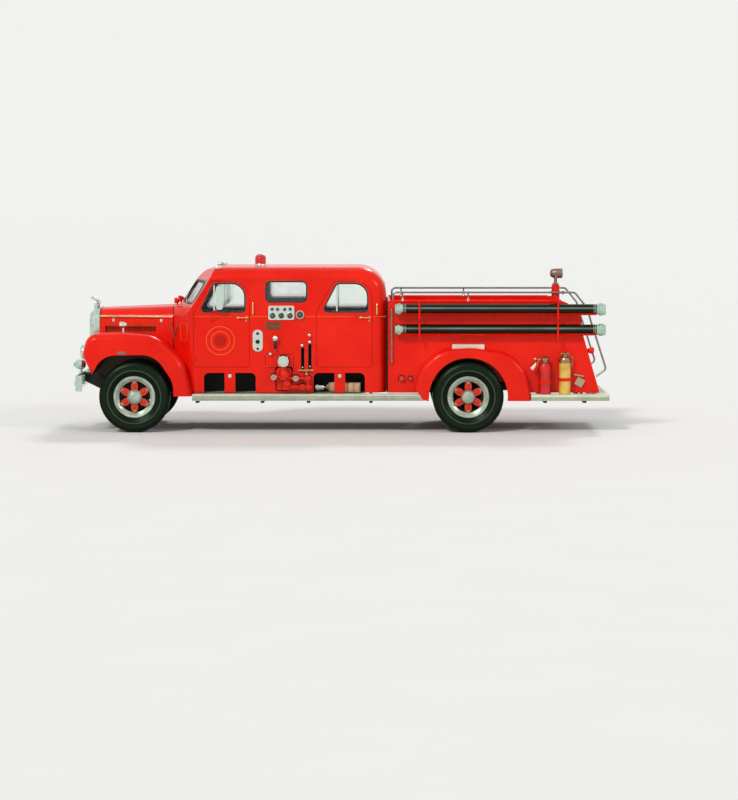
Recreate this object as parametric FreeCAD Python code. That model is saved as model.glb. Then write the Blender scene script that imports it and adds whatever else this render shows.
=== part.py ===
"""Fire engine: a mid-1950s crew-cab pumper of the conventional, long-bonnet kind.

Millimetres. The vehicle faces -X, its left side is -Y and +Z is up. Stations along X are measured
from the front axle while modelling, and every piece is moved at export so that the origin is on the
ground under the middle of the vehicle. Each piece is one node, and one STEP file in parts/.
"""
import math
import os

import FreeCAD
import Part

V = FreeCAD.Vector
os.makedirs("parts", exist_ok=True)

# ---------------------------------------------------------------- driving dimensions
WHEELBASE = 5080.0
FRONT_END = -985.0            # siren nose
REAR_END = 7225.0             # rear edge of the tailboard
ORIGIN_X = (FRONT_END + REAR_END) / 2
HALF_WIDTH = 1200.0           # over rear fenders and tailboard

TYRE_R = 541.0                # rolling and outer radius
TYRE_W = 276.0
RIM_R = 318.0                 # over the rim's flange
FRONT_TRACK_Y = 1000.0        # centre of a front tyre
DUAL_OUTER_Y = 1030.0
DUAL_INNER_Y = 715.0
AXLE_Z = TYRE_R

RAIL_OUT_Y = 430.0            # outer face of a chassis rail
RAIL_FLANGE = 80.0
RAIL_WEB = 10.0
RAIL_Z = (620.0, 860.0)
RAIL_X = (-820.0, 7040.0)

CAB_HALF = 985.0              # half width below the belt
CAB_FRONT = 566.0             # bonnet-to-cowl joint
CAB_REAR = 3835.0
SKIRT_Z = 600.0
BELT_Z = 1767.0
DRIP_Z = 2312.0
ROOF_Z = 2508.0
WALL = 45.0                   # thickness of a cab wall or door
GLASS_IN, GLASS_T = 20.0, 6.0
BOARD_Z = 585.0               # top of running boards and tailboard
BOARD_LOW = 490.0
GAP = 5.0                     # round doors and lids

DOOR_PITCH = 1870.0           # from the front doors to the rear ones
DOOR_X = (895.0, 1752.0)      # front door
DOOR_Z = (987.0, 2300.0)
HINGE_OUT = 10.0              # door hinge axis outside the door's skin
DOOR_HINGE_X = DOOR_X[0] + GAP

BED_FRONT = 3862.0
BED_HALF = 1000.0
BED_TOP = 2001.0
BED_FLOOR_Z = 1345.0
BED_WALL = 30.0

HOSE_R = 78.0
HOSE_Y = 1090.0
HOSE_Z = (1877.0, 1569.0)     # upper and lower suction hose
HOSE_X = (4082.0, 7023.0)

MAST_X, MAST_Y, MAST_R = 6412.0, 905.0, 62.0
MAST_TOP = 2248.0
LAMP_Z = 2418.0               # searchlight's tilt axis

KINGPIN_Y = 880.0
KINGPIN_R = 20.0
SPINDLE_R = 40.0
RUNNING = 0.05                # radial clearance of a running fit
STEER_ARM = 190.0             # length of a steering arm, behind the axle
STEER_ARM_Y = 810.0           # its ball's distance from the middle
TIE_ROD_Z = 412.0


# ---------------------------------------------------------------- helpers
def box(x, y, z):
    """A box from three (low, high) pairs."""
    return Part.makeBox(x[1] - x[0], y[1] - y[0], z[1] - z[0], V(x[0], y[0], z[0]))


def rod(a, b, r):
    """A round bar from point a to point b."""
    a, b = V(*a), V(*b)
    return Part.makeCylinder(r, (b - a).Length, a, b - a)


def ball(p, r):
    return Part.makeSphere(r, V(*p))


def fuse(shapes):
    shapes = list(shapes)
    whole = shapes[0] if len(shapes) == 1 else shapes[0].multiFuse(shapes[1:])
    return whole.removeSplitter()


def cut(shape, *tools):
    return shape.cut(list(tools)) if len(tools) > 1 else shape.cut(tools[0])


def mirrored(shape):
    return shape.mirror(V(0, 0, 0), V(0, 1, 0))


def both(shape):
    """A piece and its mirror image on the other side."""
    return Part.makeCompound([shape, mirrored(shape)])


PLANES = {
    "XZ": lambda a, b, c: V(a, c, b),
    "XY": lambda a, b, c: V(a, b, c),
    "YZ": lambda a, b, c: V(c, a, b),
}
NORMALS = {"XZ": V(0, 1, 0), "XY": V(0, 0, 1), "YZ": V(1, 0, 0)}


def outline(corners, plane, at=0.0):
    """A closed wire through corners (a, b, radius), each rounded by a tangent arc."""
    place = PLANES[plane]
    n = len(corners)
    starts, ends, mids = [], [], []
    for i, (a, b, r) in enumerate(corners):
        p = V(a, b, 0)
        before = V(*corners[i - 1][:2], 0) - p
        after = V(*corners[(i + 1) % n][:2], 0) - p
        if r <= 0:
            starts.append(p)
            ends.append(p)
            mids.append(None)
            continue
        half = before.getAngle(after) / 2
        reach = r / math.tan(half)
        starts.append(p + before.normalize() * reach)
        ends.append(p + after.normalize() * reach)
        to_centre = (before + after).normalize()
        mids.append(p + to_centre * (r / math.sin(half) - r))
    edges = []
    for i in range(n):
        if mids[i] is not None:
            arc = [place(q.x, q.y, at) for q in (starts[i], mids[i], ends[i])]
            edges.append(Part.Arc(*arc).toShape())
        a, b = ends[i], starts[(i + 1) % n]
        if (b - a).Length > 0.01:
            edges.append(Part.LineSegment(place(a.x, a.y, at), place(b.x, b.y, at)).toShape())
    return Part.Wire(Part.__sortEdges__(edges))


def prism(corners, plane, low, high):
    """The rounded outline, extruded from low to high across its plane."""
    return extrude(outline(corners, plane, low), plane, high - low)


def extrude(wire, plane, depth):
    return Part.Face(wire).extrude(NORMALS[plane] * depth)


def inset(wire, by):
    """The wire moved inwards by a distance."""
    if by == 0:
        return wire
    return Part.Wire(Part.__sortEdges__(wire.makeOffset2D(-by).Edges))


def path_wire(points, bend):
    """Straight runs through the points, joined by tangent arcs of radius bend."""
    pts = [V(*p) for p in points]
    edges, here = [], pts[0]
    for i in range(1, len(pts) - 1):
        p = pts[i]
        before, after = (pts[i - 1] - p).normalize(), (pts[i + 1] - p).normalize()
        half = before.getAngle(after) / 2
        reach = bend / math.tan(half)
        a, b = p + before * reach, p + after * reach
        mid = p + (before + after).normalize() * (bend / math.sin(half) - bend)
        edges += [Part.LineSegment(here, a).toShape(), Part.Arc(a, mid, b).toShape()]
        here = b
    edges.append(Part.LineSegment(here, pts[-1]).toShape())
    return Part.Wire(edges)


def tube(points, r, bend):
    """A bent round bar along the points."""
    path = path_wire(points, bend)
    start, along = V(*points[0]), V(*points[1]) - V(*points[0])
    circle = Part.Wire(Part.makeCircle(r, start, along))
    return path.makePipeShell([circle], True, False)


def turned(profile, centre_y, centre_x=0.0, centre_z=AXLE_Z):
    """A closed (radius, y) profile turned about the axle's line along Y, at (centre_x, centre_z)."""
    pts = [V(centre_x + r, centre_y + y, centre_z) for r, y in profile]
    face = Part.Face(Part.makePolygon(pts + [pts[0]]))
    return face.revolve(V(centre_x, centre_y, centre_z), V(0, 1, 0), 360)


def upright(profile, x, y):
    """A (radius, z) profile turned about an upright axis."""
    pts = [V(x + r, y, z) for r, z in profile]
    return Part.Face(Part.makePolygon(pts + [pts[0]])).revolve(V(x, y, 0), V(0, 0, 1), 360)


def lengthwise(profile, y, z):
    """A (radius, x) profile turned about a line along X at (y, z)."""
    pts = [V(x, y, z + r) for r, x in profile]
    return Part.Face(Part.makePolygon(pts + [pts[0]])).revolve(V(0, y, z), V(1, 0, 0), 360)


def save(name, shape):
    """Moves a piece from the axle's frame to the origin's and writes its STEP file."""
    moved = shape.copy()
    moved.translate(V(-ORIGIN_X, 0, 0))
    solids = moved.Solids
    assert solids, name
    whole = solids[0] if len(solids) == 1 else Part.makeCompound(solids)
    for s in solids:
        if not s.isValid() or s.Volume <= 0:
            print("PROBLEM", name, s.isValid(), s.Volume)
    whole.exportStep("parts/%s.step" % name)
    print(name, len(solids), "solids", round(whole.Volume / 1e6, 2), "litres")


# ---------------------------------------------------------------- cab
# Side silhouette above the belt: (x, z, corner radius), windscreen foot first
SILHOUETTE = [
    (428.0, 1578.0, 0),
    (914.0, 2337.0, 0),
    (1050.0, 2460.0, 260),
    (1330.0, ROOF_Z, 500),
    (CAB_REAR, ROOF_Z + 2, 420),
    (CAB_REAR, 1578.0, 0),
]
UPPER_HALF = 972.0            # half width above the belt
ROOF_ROUND = 200.0            # along the sides of the roof and down the rear corners
SCREEN_FOOT_X = 613.0         # windscreen plane on the centre line, at SCREEN_FOOT_Z
SCREEN_FOOT_Z = 1867.0
SCREEN_RAKE = 0.641           # x per z
SCREEN_SWEEP = 0.2386         # x per |y|: the screen is a shallow V

# Plan of the lower body, left half: (x, |y|, corner radius)
COWL_PLAN = [
    (CAB_FRONT, 0, 0),
    (CAB_FRONT, 600.0, 60),
    (850.0, CAB_HALF, 160),
    (CAB_REAR, CAB_HALF, 200),
    (CAB_REAR, 0, 0),
]

# Sections of bonnet and scuttle: x, half width, top z, shoulder radius
BONNET_SECTIONS = {
    "front": (-587.0, 370.0, 1861.0, 170.0),
    "rear": (560.0, 600.0, 1911.0, 240.0),
}
SCUTTLE_REAR = (900.0, 1023.0, 1935.0, 150.0)

DOOR_OUTLINE = [              # (x, z, corner radius), front door
    (DOOR_X[0], DOOR_Z[0], 40),
    (DOOR_X[0], 1830.0, 120),
    (1160.0, DOOR_Z[1], 90),
    (DOOR_X[1], DOOR_Z[1], 270),
    (DOOR_X[1], DOOR_Z[0], 40),
]
DOOR_WINDOW = [
    (1000.0, 1842.0, 35),
    (1215.0, 2254.0, 60),
    (1670.0, 2254.0, 190),
    (1670.0, 1842.0, 40),
]
VENT_BAR_X = 1211.0           # divides the vent pane from the drop glass
MID_WINDOW = [(2011.0, 1995.0, 60), (2011.0, 2281.0, 60), (2611.0, 2281.0, 60), (2611.0, 1995.0, 60)]
REAR_WINDOW = [(-480.0, 1930.0, 70), (-480.0, 2240.0, 70), (480.0, 2240.0, 70), (480.0, 1930.0, 70)]
SCREEN_PANE = [(38.0, 1972.0, 30), (38.0, 2278.0, 30), (760.0, 2262.0, 70), (850.0, 1962.0, 60)]
STEP_WELLS = [(1053.0, 1842.0), (2724.0, 3507.0)]
STEP_WELL_Z = (597.0, 902.0)
STEP_WELL_IN_Y = 620.0        # back wall of a step well
FLOOR_Z = (960.0, 990.0)
REBATE = 12.0                 # glass reaches this far into its frame
GLASS_Y = (UPPER_HALF - GLASS_IN - GLASS_T, UPPER_HALF - GLASS_IN)
GROOVE_Y = (GLASS_Y[0] - 0.5, GLASS_Y[1] + 0.5)
FRAME_TUNNEL = ((500, 4000), (-470, 470), (500, 955))
POST_X = (1448.0, 3124.0)     # red posts in the middle of the step wells
BENCHES = [(1250.0, 1650.0), (3130.0, 3540.0)]      # front and rear edge of each seat
SEAT_Z = 1285.0               # underside of the cushions
HOUSING_X = (1830.0, 2610.0)  # the box over the pump, inside the cab

# Hinges on a door's axis: height of the lower barrel on the body
HINGE_Z = (1080.0, 1600.0)
HINGE_AXIS_Y = CAB_HALF + HINGE_OUT
HINGE_R = 9.0

# Openings in the cab's lower side for the pump: x, z, radius, and x, low z, high z of the slots
INTAKE = (2267.0, 1087.0, 74.0)       # the capped pump intake on each side
FEED = (2267.0, 740.0, 66.0)          # the pipe behind the casting, through skirt and rail
OUTLETS = [(2120.0, 844.0, 38.0), (2457.0, 825.0, 38.0)]
BULGES = [(2284.0, 879.0, 84.0), (2321.0, 728.0, 84.0)]               # rounds of the casting
FLANGES = [(2300.0, 870.0), (2320.0, 735.0), (2560.0, 690.0), (2640.0, 820.0)]
GATE_SLOTS = [(2559.0, 950.0, 1285.0), (2669.0, 963.0, 1342.0)]


def shifted(corners, dx):
    return [(x + dx, z, r) for x, z, r in corners]


def full_plan(half):
    """Both sides of a half plan given as (x, |y|, radius)."""
    left = [(x, -y, r) for x, y, r in half if y > 0]
    right = [(x, y, r) for x, y, r in reversed(half) if y > 0]
    return left + right


def plan_form(t, z):
    """The lower body's plan, moved inwards by t and raised between two heights."""
    return extrude(inset(outline(full_plan(COWL_PLAN), "XY", z[0]), t), "XY", z[1] - z[0])


def screen_x(y, z):
    return SCREEN_FOOT_X + SCREEN_RAKE * (z - SCREEN_FOOT_Z) + SCREEN_SWEEP * abs(y)


def ahead_of_screen(back):
    """Two blocks that fill the space in front of the V screen, moved rearwards by back."""
    blocks = []
    for side in (-1, 1):
        ring = ((0, 1500), (1300, 1500), (1300, 2700), (0, 2700))
        pts = [V(screen_x(y, z) + back, side * y, z) for y, z in ring]
        blocks.append(Part.Face(Part.makePolygon(pts + [pts[0]])).extrude(V(-1500, 0, 0)))
    return blocks


def screen_back(t):
    """How far along x a wall of thickness t reaches behind the leaning screen."""
    return t * math.hypot(1, SCREEN_RAKE, SCREEN_SWEEP)


def upper_form(t):
    """The cab above the belt as one closed form, with every wall moved inwards by t."""
    half = UPPER_HALF - t
    wire = inset(outline(SILHOUETTE, "XZ", -half), t)
    form = extrude(wire, "XZ", 2 * half)
    form = cut(form, box((300, 4000), (-1100, 1100), (1000, BELT_Z - (20 if t else 0))))
    rounded = []
    for e in form.Edges:
        b = e.BoundBox
        if b.YLength < 1 and b.ZMax > BELT_Z + 40 and b.XMin > 900:
            rounded.append(e)
    form = form.makeFillet(ROOF_ROUND - t, rounded)
    form = cut(form, *ahead_of_screen(screen_back(t)))
    return form.common(plan_form(t, (1500, 2700)))


def bonnet_wire(x, half, top, r, base):
    """A round-shouldered, slightly crowned section across the bonnet."""
    corners = [
        (-half, base, 0),
        (-half, top - 14, r),
        (0, top, 0),
        (half, top - 14, r),
        (half, base, 0),
    ]
    return outline(corners, "YZ", x)


def scuttle_form(t):
    """The scuttle between bonnet and screen, lofted from the bonnet's rear section."""
    x0, half0, top0, r0 = BONNET_SECTIONS["rear"]
    x1, half1, top1, r1 = SCUTTLE_REAR
    x0 = CAB_FRONT + t
    base = BELT_Z - 200
    wires = [
        bonnet_wire(x0, half0 - t, top0 - t, r0 - t, base),
        bonnet_wire(x1, half1 - t, top1 - t, r1 - t, base),
    ]
    form = Part.makeLoft(wires, True, True)
    form = form.common(plan_form(t, (1500, 2100)))
    return form.common(box((300, 1000), (t - UPPER_HALF, UPPER_HALF - t), (BELT_Z - 30, 2100)))


# Front fender, side view: (x, z, corner radius); its foot runs from the last point to the first
FENDER_OUTER = [
    (-644.0, 881.0, 0),
    (-790.0, 1180.0, 120),
    (-706.0, 1500.0, 200),
    (-200.0, 1524.0, 900),
    (330.0, 1480.0, 500),
    (760.0, 1080.0, 500),
    (872.0, 600.0, 0),
    (872.0, 556.0, 0),
    (600.0, 556.0, 0),
]
FENDER_ARCH = [
    (-700.0, 400.0, 0),
    (-700.0, 800.0, 0),
    (-644.0, 881.0, 60),
    (-470.0, 1178.0, 330),
    (320.0, 1190.0, 380),
    (600.0, 760.0, 400),
    (600.0, 400.0, 0),
]
FENDER_Y = (360.0, 1190.0)
FENDER_ROUND = 110.0
FENDER_SKIN = 22.0
FENDER_FOOT_Z = 900.0         # the outer rim is not rounded below this
APRON_Y = (545.0, 565.0)      # the wheelhouse's inner wall
HEADLAMP_Y, HEADLAMP_Z, HEADLAMP_R = 880.0, 1215.0, 105.0


def fender_form(skin=0.0):
    """A front fender (left) as a closed form, or its inside when skin is given."""
    wire = inset(outline(FENDER_OUTER, "XZ", -FENDER_Y[1] + skin), skin)
    form = extrude(wire, "XZ", FENDER_Y[1] - skin - FENDER_Y[0])
    return round_rim(form, -FENDER_Y[1] + skin, FENDER_ROUND - skin, FENDER_FOOT_Z)


def round_rim(form, y, r, foot_z):
    """Rounds the outer rim of a fender's form, apart from the edges that lie below foot_z."""
    rim = []
    for e in form.Edges:
        b = e.BoundBox
        if b.YLength < 0.5 and abs(b.YMin - y) < 0.5 and max(v.Point.z for v in e.Vertexes) >= foot_z:
            rim.append(e)
    return form.makeFillet(r, rim)


def wheelhouse_form():
    """The space of the left front wheel, taken out of the cab's corner and floor."""
    return fender_form().common(box((-1000, 1000), (-1300, -APRON_Y[0]), (300, 1700)))


def cab_forms():
    """The cab's outer form and the tools that hollow it."""
    outer = fuse([plan_form(0, (SKIRT_Z, BELT_Z)), upper_form(0), scuttle_form(0)])
    inner = [plan_form(WALL, (SKIRT_Z - 10, BELT_Z)), upper_form(WALL), scuttle_form(WALL)]
    return outer, inner


def side_prism(corners, low, high):
    """An outline in side view, raised on the left side between two distances from the middle."""
    return prism(corners, "XZ", -high, -low)


def windscreen(pane, grow, front, back):
    """Both windscreen panes, grown by a margin, between two depths behind the outer skin."""
    tools = []
    for side in (-1, 1):
        corners = [(side * y, z, r) for y, z, r in pane]
        wire = inset(outline(corners, "YZ", 500), -grow)
        tools.append(extrude(wire, "YZ", 800))
    layer = cut(Part.makeCompound(tools), *ahead_of_screen(screen_back(front)))
    above = box((0, 1500), (-1300, 1300), (1500, 2700))
    behind = [b.common(above) for b in ahead_of_screen(screen_back(back))]
    return layer.common(fuse(behind))


def front_fender():
    """The left front fender: a pressed skin with an inner wall and an open wheel arch."""
    inside = fender_form(FENDER_SKIN)
    wheel_side = inside.common(box((-1000, 1000), (-1300, -APRON_Y[1]), (300, 1700)))
    engine_side = inside.common(box((-1000, 1000), (-APRON_Y[0], -300), (300, 1700)))
    arch = side_prism(FENDER_ARCH, APRON_Y[1], 1300)
    axle_gap = box((-330, 330), (-APRON_Y[1] - 5, -APRON_Y[0]), (300, 1000))
    over_rails = box((-1000, 1000), (-APRON_Y[0], -300), (300, 1000))
    behind_bonnet = box((CAB_FRONT, 900), (-APRON_Y[0], -300), (300, 1700))
    lamp = rod((-900, -HEADLAMP_Y, HEADLAMP_Z), (-680, -HEADLAMP_Y, HEADLAMP_Z), HEADLAMP_R + 1)
    return cut(fender_form(), wheel_side, engine_side, arch, axle_gap, over_rails, behind_bonnet, lamp)


def door_form(dx, gap):
    wire = inset(outline(shifted(DOOR_OUTLINE, dx), "XZ", -1100), gap)
    return extrude(wire, "XZ", 400)


def window_form(corners, dx, grow, low, high):
    wire = inset(outline(shifted(corners, dx), "XZ", -high), -grow)
    return extrude(wire, "XZ", high - low)


def hinge_barrels(dx, on_door):
    """The barrels on one side of a door's hinges, with the leaf that carries them."""
    x = DOOR_HINGE_X + dx
    pieces = []
    for z in HINGE_Z:
        low = z + 32 if on_door else z
        pieces.append(rod((x, -HINGE_AXIS_Y, low), (x, -HINGE_AXIS_Y, low + 30), HINGE_R))
        leaf = (x, x + 34) if on_door else (x - 34, x)
        pieces.append(box(leaf, (-HINGE_AXIS_Y - 3, -CAB_HALF + 24), (low, low + 30)))
    return pieces


def door(dx, shell):
    """One left door: a slice of the cab's wall with its window, vent bar, handle and hinges."""
    piece = shell.common(door_form(dx, GAP))
    piece = cut(
        piece,
        window_form(DOOR_WINDOW, dx, 0, 700, 1100),
        window_form(DOOR_WINDOW, dx, REBATE + 0.5, *GROOVE_Y),
    )
    x = VENT_BAR_X + dx
    bar = box((x - 11, x + 11), (-966, -936), (1830, 2262))
    z = BELT_Z - 20
    path = ((1570, -975), (1570, -1022), (1712, -1022), (1712, -975))
    grip = [(x + dx, y, z) for x, y in path]
    return fuse([piece, bar, tube(grip, 9, 16)] + hinge_barrels(dx, True))


def door_glass(dx):
    pane = window_form(DOOR_WINDOW, dx, REBATE, *GLASS_Y)
    x = VENT_BAR_X + dx
    return cut(pane, box((x - 11.5, x + 11.5), (-1100, -900), (1800, 2300)))


def upright_slot(x, low, high, half):
    """Corners of a round-ended slot in side view."""
    return [(x - half, low, half), (x - half, high, half), (x + half, high, half), (x + half, low, half)]


def cab_shell():
    """The cab's walls and roof with every opening but the doors'."""
    outer, inner = cab_forms()
    tools = [wheelhouse_form()]
    for low, high in STEP_WELLS:
        corners = [(low, 560, 0), (low, STEP_WELL_Z[1], 80), (high, STEP_WELL_Z[1], 80), (high, 560, 0)]
        tools.append(side_prism(corners, 900, 1100))
    for x, z, r in [INTAKE, FEED] + OUTLETS:
        tools.append(rod((x, -1100, z), (x, -800, z), r + 4))
    for x, low, high in GATE_SLOTS:
        tools.append(side_prism(upright_slot(x, low, high, 24), 955, 1100))
    tools.append(window_form(MID_WINDOW, 0, 0, 700, 1100))
    tools.append(window_form(MID_WINDOW, 0, REBATE + 0.5, *GROOVE_Y))
    tools += [mirrored(t) for t in tools]
    tools.append(prism(REAR_WINDOW, "YZ", 3700, 4000))
    groove_x = CAB_REAR - GLASS_IN - GLASS_T - 0.5
    groove = inset(outline(REAR_WINDOW, "YZ", groove_x), -REBATE - 0.5)
    tools.append(extrude(groove, "YZ", GLASS_T + 1))
    tools.append(windscreen(SCREEN_PANE, 0, -30, 80))
    tools.append(windscreen(SCREEN_PANE, REBATE + 0.5, GLASS_IN - 0.5, GLASS_IN + GLASS_T + 0.5))
    tools.append(windscreen(SCREEN_PANE, 38.5, GLASS_IN + GLASS_T + 8, 90))
    tools.append(box(*FRAME_TUNNEL))
    return cut(outer, *(inner + tools))


def grab_handle(x, z, skin, r=11.0):
    into, out = 8 - skin, -skin - 45
    return tube([(x, into, z[0]), (x, out, z[0]), (x, out, z[1]), (x, into, z[1])], r, 22)


def cab_parts():
    """The cab's fixed body and roof, and the left doors, cut from one shell."""
    shell = cab_shell()
    doors = [door(dx, shell) for dx in (0.0, DOOR_PITCH)]
    openings = [door_form(dx, 0) for dx in (0.0, DOOR_PITCH)]
    shell = cut(shell, *(openings + [mirrored(o) for o in openings]))
    roof = shell.common(box((0, 4000), (-1100, 1100), (DRIP_Z, 2600)))
    body = shell.common(box((0, 4000), (-1100, 1100), (500, DRIP_Z)))
    drip = box((1150, 3460), (-UPPER_HALF - 12, -UPPER_HALF + 6), (DRIP_Z, DRIP_Z + 22))
    roof = fuse([roof, drip, mirrored(drip)])
    fittings = []
    for x, z in ((1803.0, (1790, 1980)), (3690.0, (1790, 1960))):
        fittings.append(grab_handle(x, z, UPPER_HALF))
    for dx in (0.0, DOOR_PITCH):
        fittings += hinge_barrels(dx, False)
    for x in POST_X:
        fittings.append(box((x - 82, x + 82), (-975, WALL - CAB_HALF), (SKIRT_Z, STEP_WELL_Z[1] + 20)))
    body = fuse([body] + fittings + [mirrored(f) for f in fittings])
    return body, roof, doors


def cab_glass():
    panes = [window_form(MID_WINDOW, 0, REBATE, *GLASS_Y)]
    panes.append(mirrored(panes[0]))
    back = inset(outline(REAR_WINDOW, "YZ", CAB_REAR - GLASS_IN - GLASS_T), -REBATE)
    panes.append(extrude(back, "YZ", GLASS_T))
    panes.append(windscreen(SCREEN_PANE, REBATE, GLASS_IN, GLASS_IN + GLASS_T))
    return Part.makeCompound(panes)


def cab_floor():
    """The floor plate with the tunnel over the gearbox, open under the pump's housing."""
    plate = plan_form(WALL, FLOOR_Z)
    wheel = wheelhouse_form()
    tunnel = box((500, 1200), (-200, 200), (900, 1000))
    over_pump = box((HOUSING_X[0] + 20, HOUSING_X[1] - 20), (-880, 880), (900, 1000))
    plate = cut(plate, wheel, mirrored(wheel), tunnel, over_pump)
    hump = box((612, 1200), (-220, 220), (FLOOR_Z[0], 1030))
    return fuse([plate, cut(hump, box((500, 1180), (-200, 200), (900, 1010)))])


def step_pan(low, high):
    """The pressed box behind one left step well, hung from the floor."""
    pan = box((low - 8, high + 8), (WALL - CAB_HALF, 8 - STEP_WELL_IN_Y), (STEP_WELL_Z[0] - 8, FLOOR_Z[0]))
    y = (-1100, -STEP_WELL_IN_Y)
    return cut(pan, box((low, high), y, STEP_WELL_Z), box((low, high), y, (STEP_WELL_Z[1] + 8, 1000)))


def cab_boxes():
    """The housing over the pump, the boxes under the seats and the pans of the step wells."""
    x0, x1 = HOUSING_X
    housing = box((x0, x1), (-900, 900), (FLOOR_Z[1], 1560))
    pieces = [cut(housing, box((x0 + 20, x1 - 20), (-880, 880), (900, 1540)))]
    for front, rear in BENCHES:
        pieces.append(box((front + 40, rear - 20), (-800, 800), (FLOOR_Z[1], SEAT_Z)))
    for low, high in STEP_WELLS:
        pieces.append(both(step_pan(low, high)))
    return Part.makeCompound(pieces)


def bench(x0, x1):
    """A bench seat: crowned cushion and leaning back rest."""
    cushion = [(x0, SEAT_Z, 20), (x0, 1415, 50), (x1, 1385, 50), (x1, SEAT_Z, 20)]
    back = [(x1 - 30, 1400, 30), (x1 + 45, 1930, 45), (x1 + 135, 1930, 45), (x1 + 70, 1400, 30)]
    return fuse([prism(cushion, "XZ", -860, 860), prism(back, "XZ", -860, 860)])


def dashboard():
    """Instrument panel with steering column and wheel."""
    corners = [(640, 1500, 10), (640, 1726, 0), (770, 1764, 60), (895, 1732, 40), (860, 1500, 30)]
    panel = prism(corners, "XZ", -900, 900).common(plan_form(WALL + 3, (1400, 1900)))
    hub, foot = V(1130, -450, 1600), V(700, -450, 1180)
    along = hub - foot
    column = rod(foot, hub, 22)
    ring = Part.makeTorus(215, 14, hub, along)
    arms = []
    for turn in (0, 120, 240):
        a = math.radians(turn + 90)
        across = V(0, 1, 0) * math.cos(a) + along.cross(V(0, 1, 0)).normalize() * math.sin(a)
        arms.append(rod(hub, hub + across * 215, 9))
    return fuse([panel, column, ring, ball(hub, 34)] + arms)


def radiator_shell():
    """The chromed surround: round-shouldered, tapering downwards, open at the front."""
    section = [(-300, 800, 40), (-352, 1858, 210), (352, 1858, 210), (300, 800, 40)]
    outer = prism(section, "YZ", -750, -590)
    opening = extrude(inset(outline(section, "YZ", -800), 58), "YZ", 300)
    side = [(-750, 780, 0), (-750, 1800, 85), (-590, 1858, 0), (-560, 1858, 0), (-560, 780, 0)]
    form = outer.common(prism(side, "XZ", -600, 600))
    pocket = extrude(inset(outline(section, "YZ", -705), 16), "YZ", 300)
    form = cut(form, opening, pocket)
    cap = fuse([rod((-668, 0, 1820), (-668, 0, 1905), 46), rod((-668, 0, 1895), (-668, 0, 1920), 30)])
    fin = prism([(-700, 1915, 0), (-690, 1992, 8), (-660, 1985, 12), (-628, 1915, 0)], "XZ", -8, 8)
    return fuse([cut(form, rod((-668, 0, 1700), (-668, 0, 1990), 46)), cap, fin])


def radiator_grille():
    section = [(-300, 800, 40), (-352, 1858, 210), (352, 1858, 210), (300, 800, 40)]
    wire = inset(outline(section, "YZ", -722), 59)
    ring = cut(extrude(wire, "YZ", 20), extrude(inset(wire, 12), "YZ", 20))
    area = extrude(wire, "YZ", 20)
    slats = [box((-720, -704), (y - 5, y + 5), (780, 1900)).common(area) for y in range(-240, 241, 32)]
    core = extrude(inset(outline(section, "YZ", -668), 62), "YZ", 60)
    core = core.common(box((-700, -560), (-400, 400), (830, 1780)))
    return Part.makeCompound([fuse([ring] + slats), core])


# ---------------------------------------------------------------- bonnet
LID_Z = (1708.0, 1716.0)      # top of the side panels, foot of the lids
LID_X = (-580.0, 556.0)
LID_T = 12.0
LID_IN_Y = 14.0               # the lids' inner edges, beside the hinge rod
LOUVRE = ((-505.0, 290.0), (1510.0, 1588.0))


def bonnet_form(t):
    """The bonnet from radiator to cowl as one closed form, with its skin taken off by t."""
    wires = []
    for name in ("front", "rear"):
        x, half, top, r = BONNET_SECTIONS[name]
        wires.append(bonnet_wire(x, half - t, top - t, r - t, 1180.0))
    return Part.makeLoft(wires, True, True)


def bonnet_skin():
    return cut(bonnet_form(0), bonnet_form(LID_T))


def bonnet_lid():
    """The left half of the butterfly bonnet."""
    area = box(LID_X, (-700, -LID_IN_Y), (LID_Z[1], 2000))
    strip = box((-550, 390), (-700, 0), (1720, 1740))
    return fuse([bonnet_skin().common(area), proud_bead(strip)])


def proud_bead(strip):
    """A bead that stands 6 out of the bonnet's skin, inside the given strip."""
    return cut(bonnet_form(-6), bonnet_form(LID_T)).common(strip)


def bonnet_sides():
    """Fixed side panels with louvres, and the hinge rod along the ridge."""
    panel = bonnet_skin().common(box((-587, 562), (-700, -200), (1240, LID_Z[0])))
    (x0, x1), z = LOUVRE
    slot = box((x0, x1), (-700, -200), z)
    blades = []
    pitch = (x1 - x0) / 16
    for i in range(1, 16):
        x = x0 + i * pitch
        blades.append(box((x - 5, x + 5), (-700, -200), z))
    panel = cut(panel, cut(slot, *blades), fender_form())
    panel = fuse([panel, proud_bead(box((-500, 320), (-700, -200), (1614, 1630)))])
    front, rear = BONNET_SECTIONS["front"], BONNET_SECTIONS["rear"]
    hinge = rod((-590, 0, front[2] - 3), (CAB_FRONT - 1, 0, rear[2] - 3), 6)
    return Part.makeCompound([panel, mirrored(panel), hinge])


# ---------------------------------------------------------------- chassis
# Cross-members between the rails: x, low z, high z, half length
WEB_IN = RAIL_OUT_Y - RAIL_WEB
FLANGE_IN = RAIL_OUT_Y - RAIL_FLANGE
CROSS_MEMBERS = [
    (-780.0, 750.0, 800.0, WEB_IN),
    (-650.0, 720.0, 800.0, WEB_IN),
    (-300.0, 620.0, 640.0, FLANGE_IN),
    (380.0, 620.0, 640.0, FLANGE_IN),
    (1250.0, 630.0, 690.0, WEB_IN),
    (2800.0, 780.0, 850.0, WEB_IN),
    (3900.0, 780.0, 850.0, WEB_IN),
    (4480.0, 780.0, 850.0, WEB_IN),
    (5690.0, 780.0, 850.0, WEB_IN),
    (6960.0, 650.0, 830.0, WEB_IN),
]
CAB_BEAMS = [1010.0, 1700.0, 2660.0, 3700.0]
BED_BEAMS = [3950.0, 4300.0, 6250.0, 6900.0]
BOARD_BRACKETS = [960.0, 1950.0, 2650.0, 3600.0, 6250.0, 6850.0]
SPRING_EYES_REAR = [4440.0, 5720.0]
EYE_TOP_REAR = 705.0


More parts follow.
